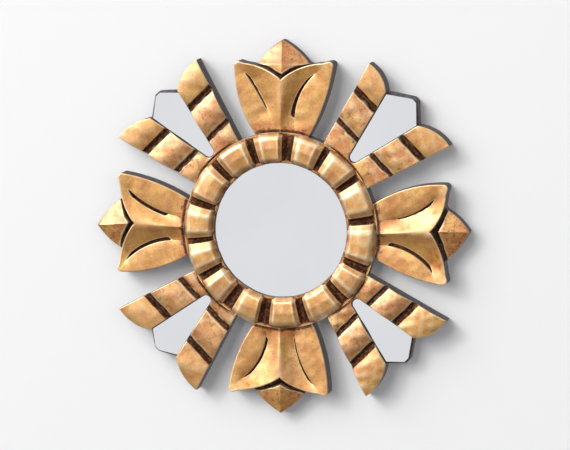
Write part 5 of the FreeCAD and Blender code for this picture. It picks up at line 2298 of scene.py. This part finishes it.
@dataclass
class Stage:
    """Pale wall and floor, soft lights and the camera of the picture."""

    distance: float = 3.0
    look: Place = (0.22, -1.0, 0.138)
    roll_degrees: float = 0.3
    pixels_per_mm: float = 1.2555
    axis_pixel: Point = (284.3, 227.9)
    farthest: float = 20.0
    wall_gap: float = 0.0008
    wall_half: float = 2.2
    wall_top: float = 2.0
    floor_z: float = -0.9
    floor_depth: float = 3.0
    plaster_colour: Colour = linear(247, 247, 249)
    # Colour of the painted glow that reflections see on the plaster
    plaster_glow: Colour = linear(247, 248, 250)
    plaster_rough: float = 0.9
    plaster_shine: float = 0.1
    # Strength of that painted glow on the wall and on the floor
    wall_reflected_glow: float = 0.6
    floor_reflected_glow: float = 0.25
    lamps: Tuple[Lamp, ...] = (
        Lamp("key_light", (-3.48, -3.84, 3.12), 6.0, 392.0, (1.0, 0.985, 0.965)),
        Lamp("window_light", (-3.48, -3.84, 3.12), 0.9, 62.0, (1.0, 0.985, 0.965)),
        Lamp("fill_light", (1.5, -2.2, 0.5), 1.2, 5.0, (0.94, 0.97, 1.0)),
    )
    bright_side: Place = (-0.60, -0.30, 0.74)
    reflected: Gate = (-0.36, 0.30, 0.13, 0.97)
    behind: Gate = (-0.05, 0.25, 0.33, 0.66)
    backdrop: float = 0.97
    pale: Colour = linear(249, 249, 249)
    warm: Colour = linear(176, 132, 96)

    def plaster(self, name: str, reflected_glow: float) -> bpy.types.Material:
        """Make matt pale plaster, not seen from behind, that reflections see as a painted glow of
        its own strength.

        Light that the mirror gathers from its side comes from the world behind it.

        Args:
            name: Name of the material.
            reflected_glow: Its strength in reflections.

        Returns:
            The material.
        """
        n = Nodes(bpy.data.materials.new(name))
        n.finish(self.plaster_colour, 0.0, self.plaster_rough, self.plaster_shine)
        # Reflections see a painted glow in place of the lit plaster
        glow = n.node("ShaderNodeEmission", Color=self.plaster_glow, Strength=reflected_glow)
        path = n.node("ShaderNodeLightPath").outputs
        clear = n.node("ShaderNodeBsdfTransparent").outputs[0]
        backwards = n.node("ShaderNodeNewGeometry").outputs["Backfacing"]
        shown = n.blend_shaders(path["Is Glossy Ray"], n.shader.outputs[0], glow.outputs[0])
        passed = n.math("MAXIMUM", backwards, path["Is Diffuse Ray"])
        shown = n.blend_shaders(passed, shown, clear)
        n.put(n.tree.nodes["Material Output"].inputs["Surface"], shown)
        return n.owner

    def sheet(self, name: str, corners: Sequence[Place], reflected_glow: float) -> None:
        """Make a flat staged sheet of plaster.

        Args:
            name: Name of the sheet.
            corners: Its corners.
            reflected_glow: Its strength in reflections.
        """
        mesh = bpy.data.meshes.new(name)
        mesh.from_pydata(corners, [], [tuple(range(len(corners)))])
        mesh.materials.append(self.plaster("pale_" + name, reflected_glow))
        made = bpy.data.objects.new(name, mesh)
        bpy.context.scene.collection.objects.link(made)

    def light(self, lamp: Lamp) -> None:
        """Add a lamp that faces the mirror.

        Args:
            lamp: The lamp.
        """
        data = bpy.data.lights.new(lamp.name, "AREA")
        data.size, data.energy, data.color = lamp.size, lamp.energy, lamp.colour
        made = bpy.data.objects.new(lamp.name, data)
        made.location = lamp.place
        made.rotation_euler = (-Vector(lamp.place)).to_track_quat("-Z", "Y").to_euler()
        bpy.context.scene.collection.objects.link(made)

    def world(self) -> None:
        """Add plain pale surroundings, dimmer on the object than as a reflection.

        A reflection sees a level that rises softly towards the bright side,
        and warms as it falls. What lights the object is dimmer, and brighter
        behind the wall than in front of it.
        """
        world = bpy.data.worlds.new("pale_room")
        bpy.context.scene.world = world
        n = Nodes(world)
        direction = n.coordinates["Generated"]
        path = n.node("ShaderNodeLightPath").outputs
        towards = n.node("ShaderNodeVectorMath")
        towards.operation = "DOT_PRODUCT"
        n.put(towards.inputs[0], direction)
        n.put(towards.inputs[1], self.bright_side)
        reflected = n.between(towards.outputs["Value"], *self.reflected)
        hue = n.mix(path["Is Glossy Ray"], self.pale, n.mix(reflected, self.warm, self.pale))
        ahead = n.node("ShaderNodeSeparateXYZ", Vector=direction).outputs["Y"]
        lighting = n.between(ahead, *self.behind, soft=False)
        seen = n.math("MAXIMUM", path["Is Camera Ray"], path["Is Transmission Ray"])
        lit = n.between(seen, 0, 1, lighting, self.backdrop, soft=False)
        background = n.tree.nodes["Background"]
        n.put(background.inputs["Color"], hue)
        strength = n.between(path["Is Glossy Ray"], 0, 1, lit, reflected, soft=False)
        n.put(background.inputs["Strength"], strength)

    def camera(self) -> None:
        """Place the camera where the picture was taken from.

        It looks along the line to the ring's axis, rolled a little, and stands
        aside by as much as the axis is off the middle of the picture.
        """
        out = Vector(self.look).normalized()
        right = (-out).cross(Vector((0, 0, 1))).normalized()
        up = right.cross(-out)
        roll = math.radians(self.roll_degrees)
        rolled_right = right * math.cos(roll) + up * math.sin(roll)
        rolled_up = up * math.cos(roll) - right * math.sin(roll)
        width, height = IMAGE_SIZE
        pixel = MILLIMETRE / self.pixels_per_mm
        aside = (width / 2 - self.axis_pixel[0]) * pixel
        above = (self.axis_pixel[1] - height / 2) * pixel
        place = out * self.distance + rolled_right * aside + rolled_up * above
        data = bpy.data.cameras.new("picture_camera")
        data.sensor_fit = "HORIZONTAL"
        data.lens = data.sensor_width * self.distance / pixel / width
        data.clip_end = self.farthest
        camera = bpy.data.objects.new("picture_camera", data)
        turn = Matrix((rolled_right, rolled_up, out)).transposed().to_4x4()
        camera.matrix_world = Matrix.Translation(place) @ turn
        bpy.context.scene.collection.objects.link(camera)
        bpy.context.scene.camera = camera

    def build(self) -> None:
        """Set the stage."""
        left, right, wall = -self.wall_half, self.wall_half, self.wall_gap
        low, high, near = self.floor_z, self.wall_top, -self.floor_depth
        self.sheet("wall", [(left, wall, low), (right, wall, low), (right, wall, high),
                            (left, wall, high)], self.wall_reflected_glow)
        self.sheet("floor", [(left, near, low), (right, near, low), (right, wall, low),
                             (left, wall, low)], self.floor_reflected_glow)
        for lamp in self.lamps:
            self.light(lamp)
        self.world()
        self.camera()
        bpy.context.scene.view_settings.view_transform = "Standard"


# The pieces with the sizes that hand carving gave each

CCW, CW = Side.CCW, Side.CW

PETALS = (
    LilyPetal("petal_top", 90, 151.0, 0.0, (120.5, -0.6), {
        CCW: Lobe(134.2, 37.6, 20.4, ((96.0, 12.0), (108.5, 18.9), (124.6, 29.4)), (0.9, 1.9)),
        CW: Lobe(135.4, 42.4, 22.6, ((90.0, 10.9), (106.0, 14.3), (124.6, 26.8)), (3.6, 1.4)),
    }, 11, 13.2, gouge_width=1.0),
    LilyPetal("petal_right", 0, 151.0, 3.2, (121.5, 3.4), {
        CCW: Lobe(134.8, 40.8, 23.2, ((93.5, 12.2), (110.0, 18.6), (123.2, 28.6)), (0.9, 2.1)),
        CW: Lobe(135.0, 39.2, 19.6, ((86.5, 9.6), (106.0, 15.9), (122.6, 30.4)), (2.9, 2.7)),
    }, 12, 12.4),
    LilyPetal("petal_bottom", 270, 147.6, 0.3, (118.0, 1.0), {
        CCW: Lobe(131.8, 39.8, 26.4, ((85.5, 11.8), (106.5, 17.4), (123.0, 27.4)), (0.9, 2.0)),
        CW: Lobe(131.5, 41.4, 20.8, ((86.3, 11.9), (103.5, 17.0), (119.8, 30.0)), (2.2, 1.5)),
    }, 13, 12.2),
    LilyPetal("petal_left", 180, 150.8, 1.2, (118.8, -2.2), {
        CCW: Lobe(133.4, 37.7, 22.0, ((89.8, 11.2), (107.0, 15.4), (125.8, 28.2)), (3.0, 2.3)),
        CW: Lobe(133.0, 42.0, 22.4, ((91.8, 10.4), (108.0, 17.2), (124.2, 29.2)), (2.7, 3.2)),
    }, 14, 13.2),
)

FANS = (
    RayFan("ray_fan_upper_right", 45, {CCW: Ray(145.2, 45.2, 25.4, 19.4),
                                       CW: Ray(146.0, 45.4, 24.4, 16.6)},
           139.0, (151.4, -0.6), 0.4, (95.5, 123.0), 21),
    RayFan("ray_fan_upper_left", 135, {CCW: Ray(143.6, 44.0, 24.2, 13.8),
                                       CW: Ray(143.4, 46.2, 25.4, 17.6)},
           136.2, (147.0, -3.2), -1.4, (91.5, 119.6), 22),
    RayFan("ray_fan_lower_left", 225, {CCW: Ray(141.4, 44.8, 23.8, 14.6),
                                       CW: Ray(141.6, 45.6, 25.0, 15.8)},
           134.4, (142.8, -1.4), -1.6, (87.0, 116.0), 23),
    RayFan("ray_fan_lower_right", 315, {CCW: Ray(142.6, 47.2, 26.2, 18.6),
                                        CW: Ray(142.0, 42.8, 21.0, 12.4)},
           134.4, (144.6, 1.4), 4.0, (90.5, 116.0), 24),
)


def main() -> None:
    """Build and dress every sub-assembly and set the stage."""
    logging.basicConfig(level=logging.INFO, format="%(name)s: %(message)s")
    finishes = Finishes()
    CarvedRing().build(finishes)
    hanger = Hanger()
    for petal in PETALS:
        petal.build(finishes, hanger.cuts() if petal.turn == hanger.turn else [])
    for fan in FANS:
        fan.build(finishes)
    finishes.dress_node("round_glass", Slot.MIRROR)
    finishes.dress_node("packing_disc", Slot.CARD)
    finishes.dress_node("back_board", Slot.BOARD)
    Fixings().build(finishes)
    hanger.build(finishes)
    Stage().build()


if __name__ == "__main__":
    main()
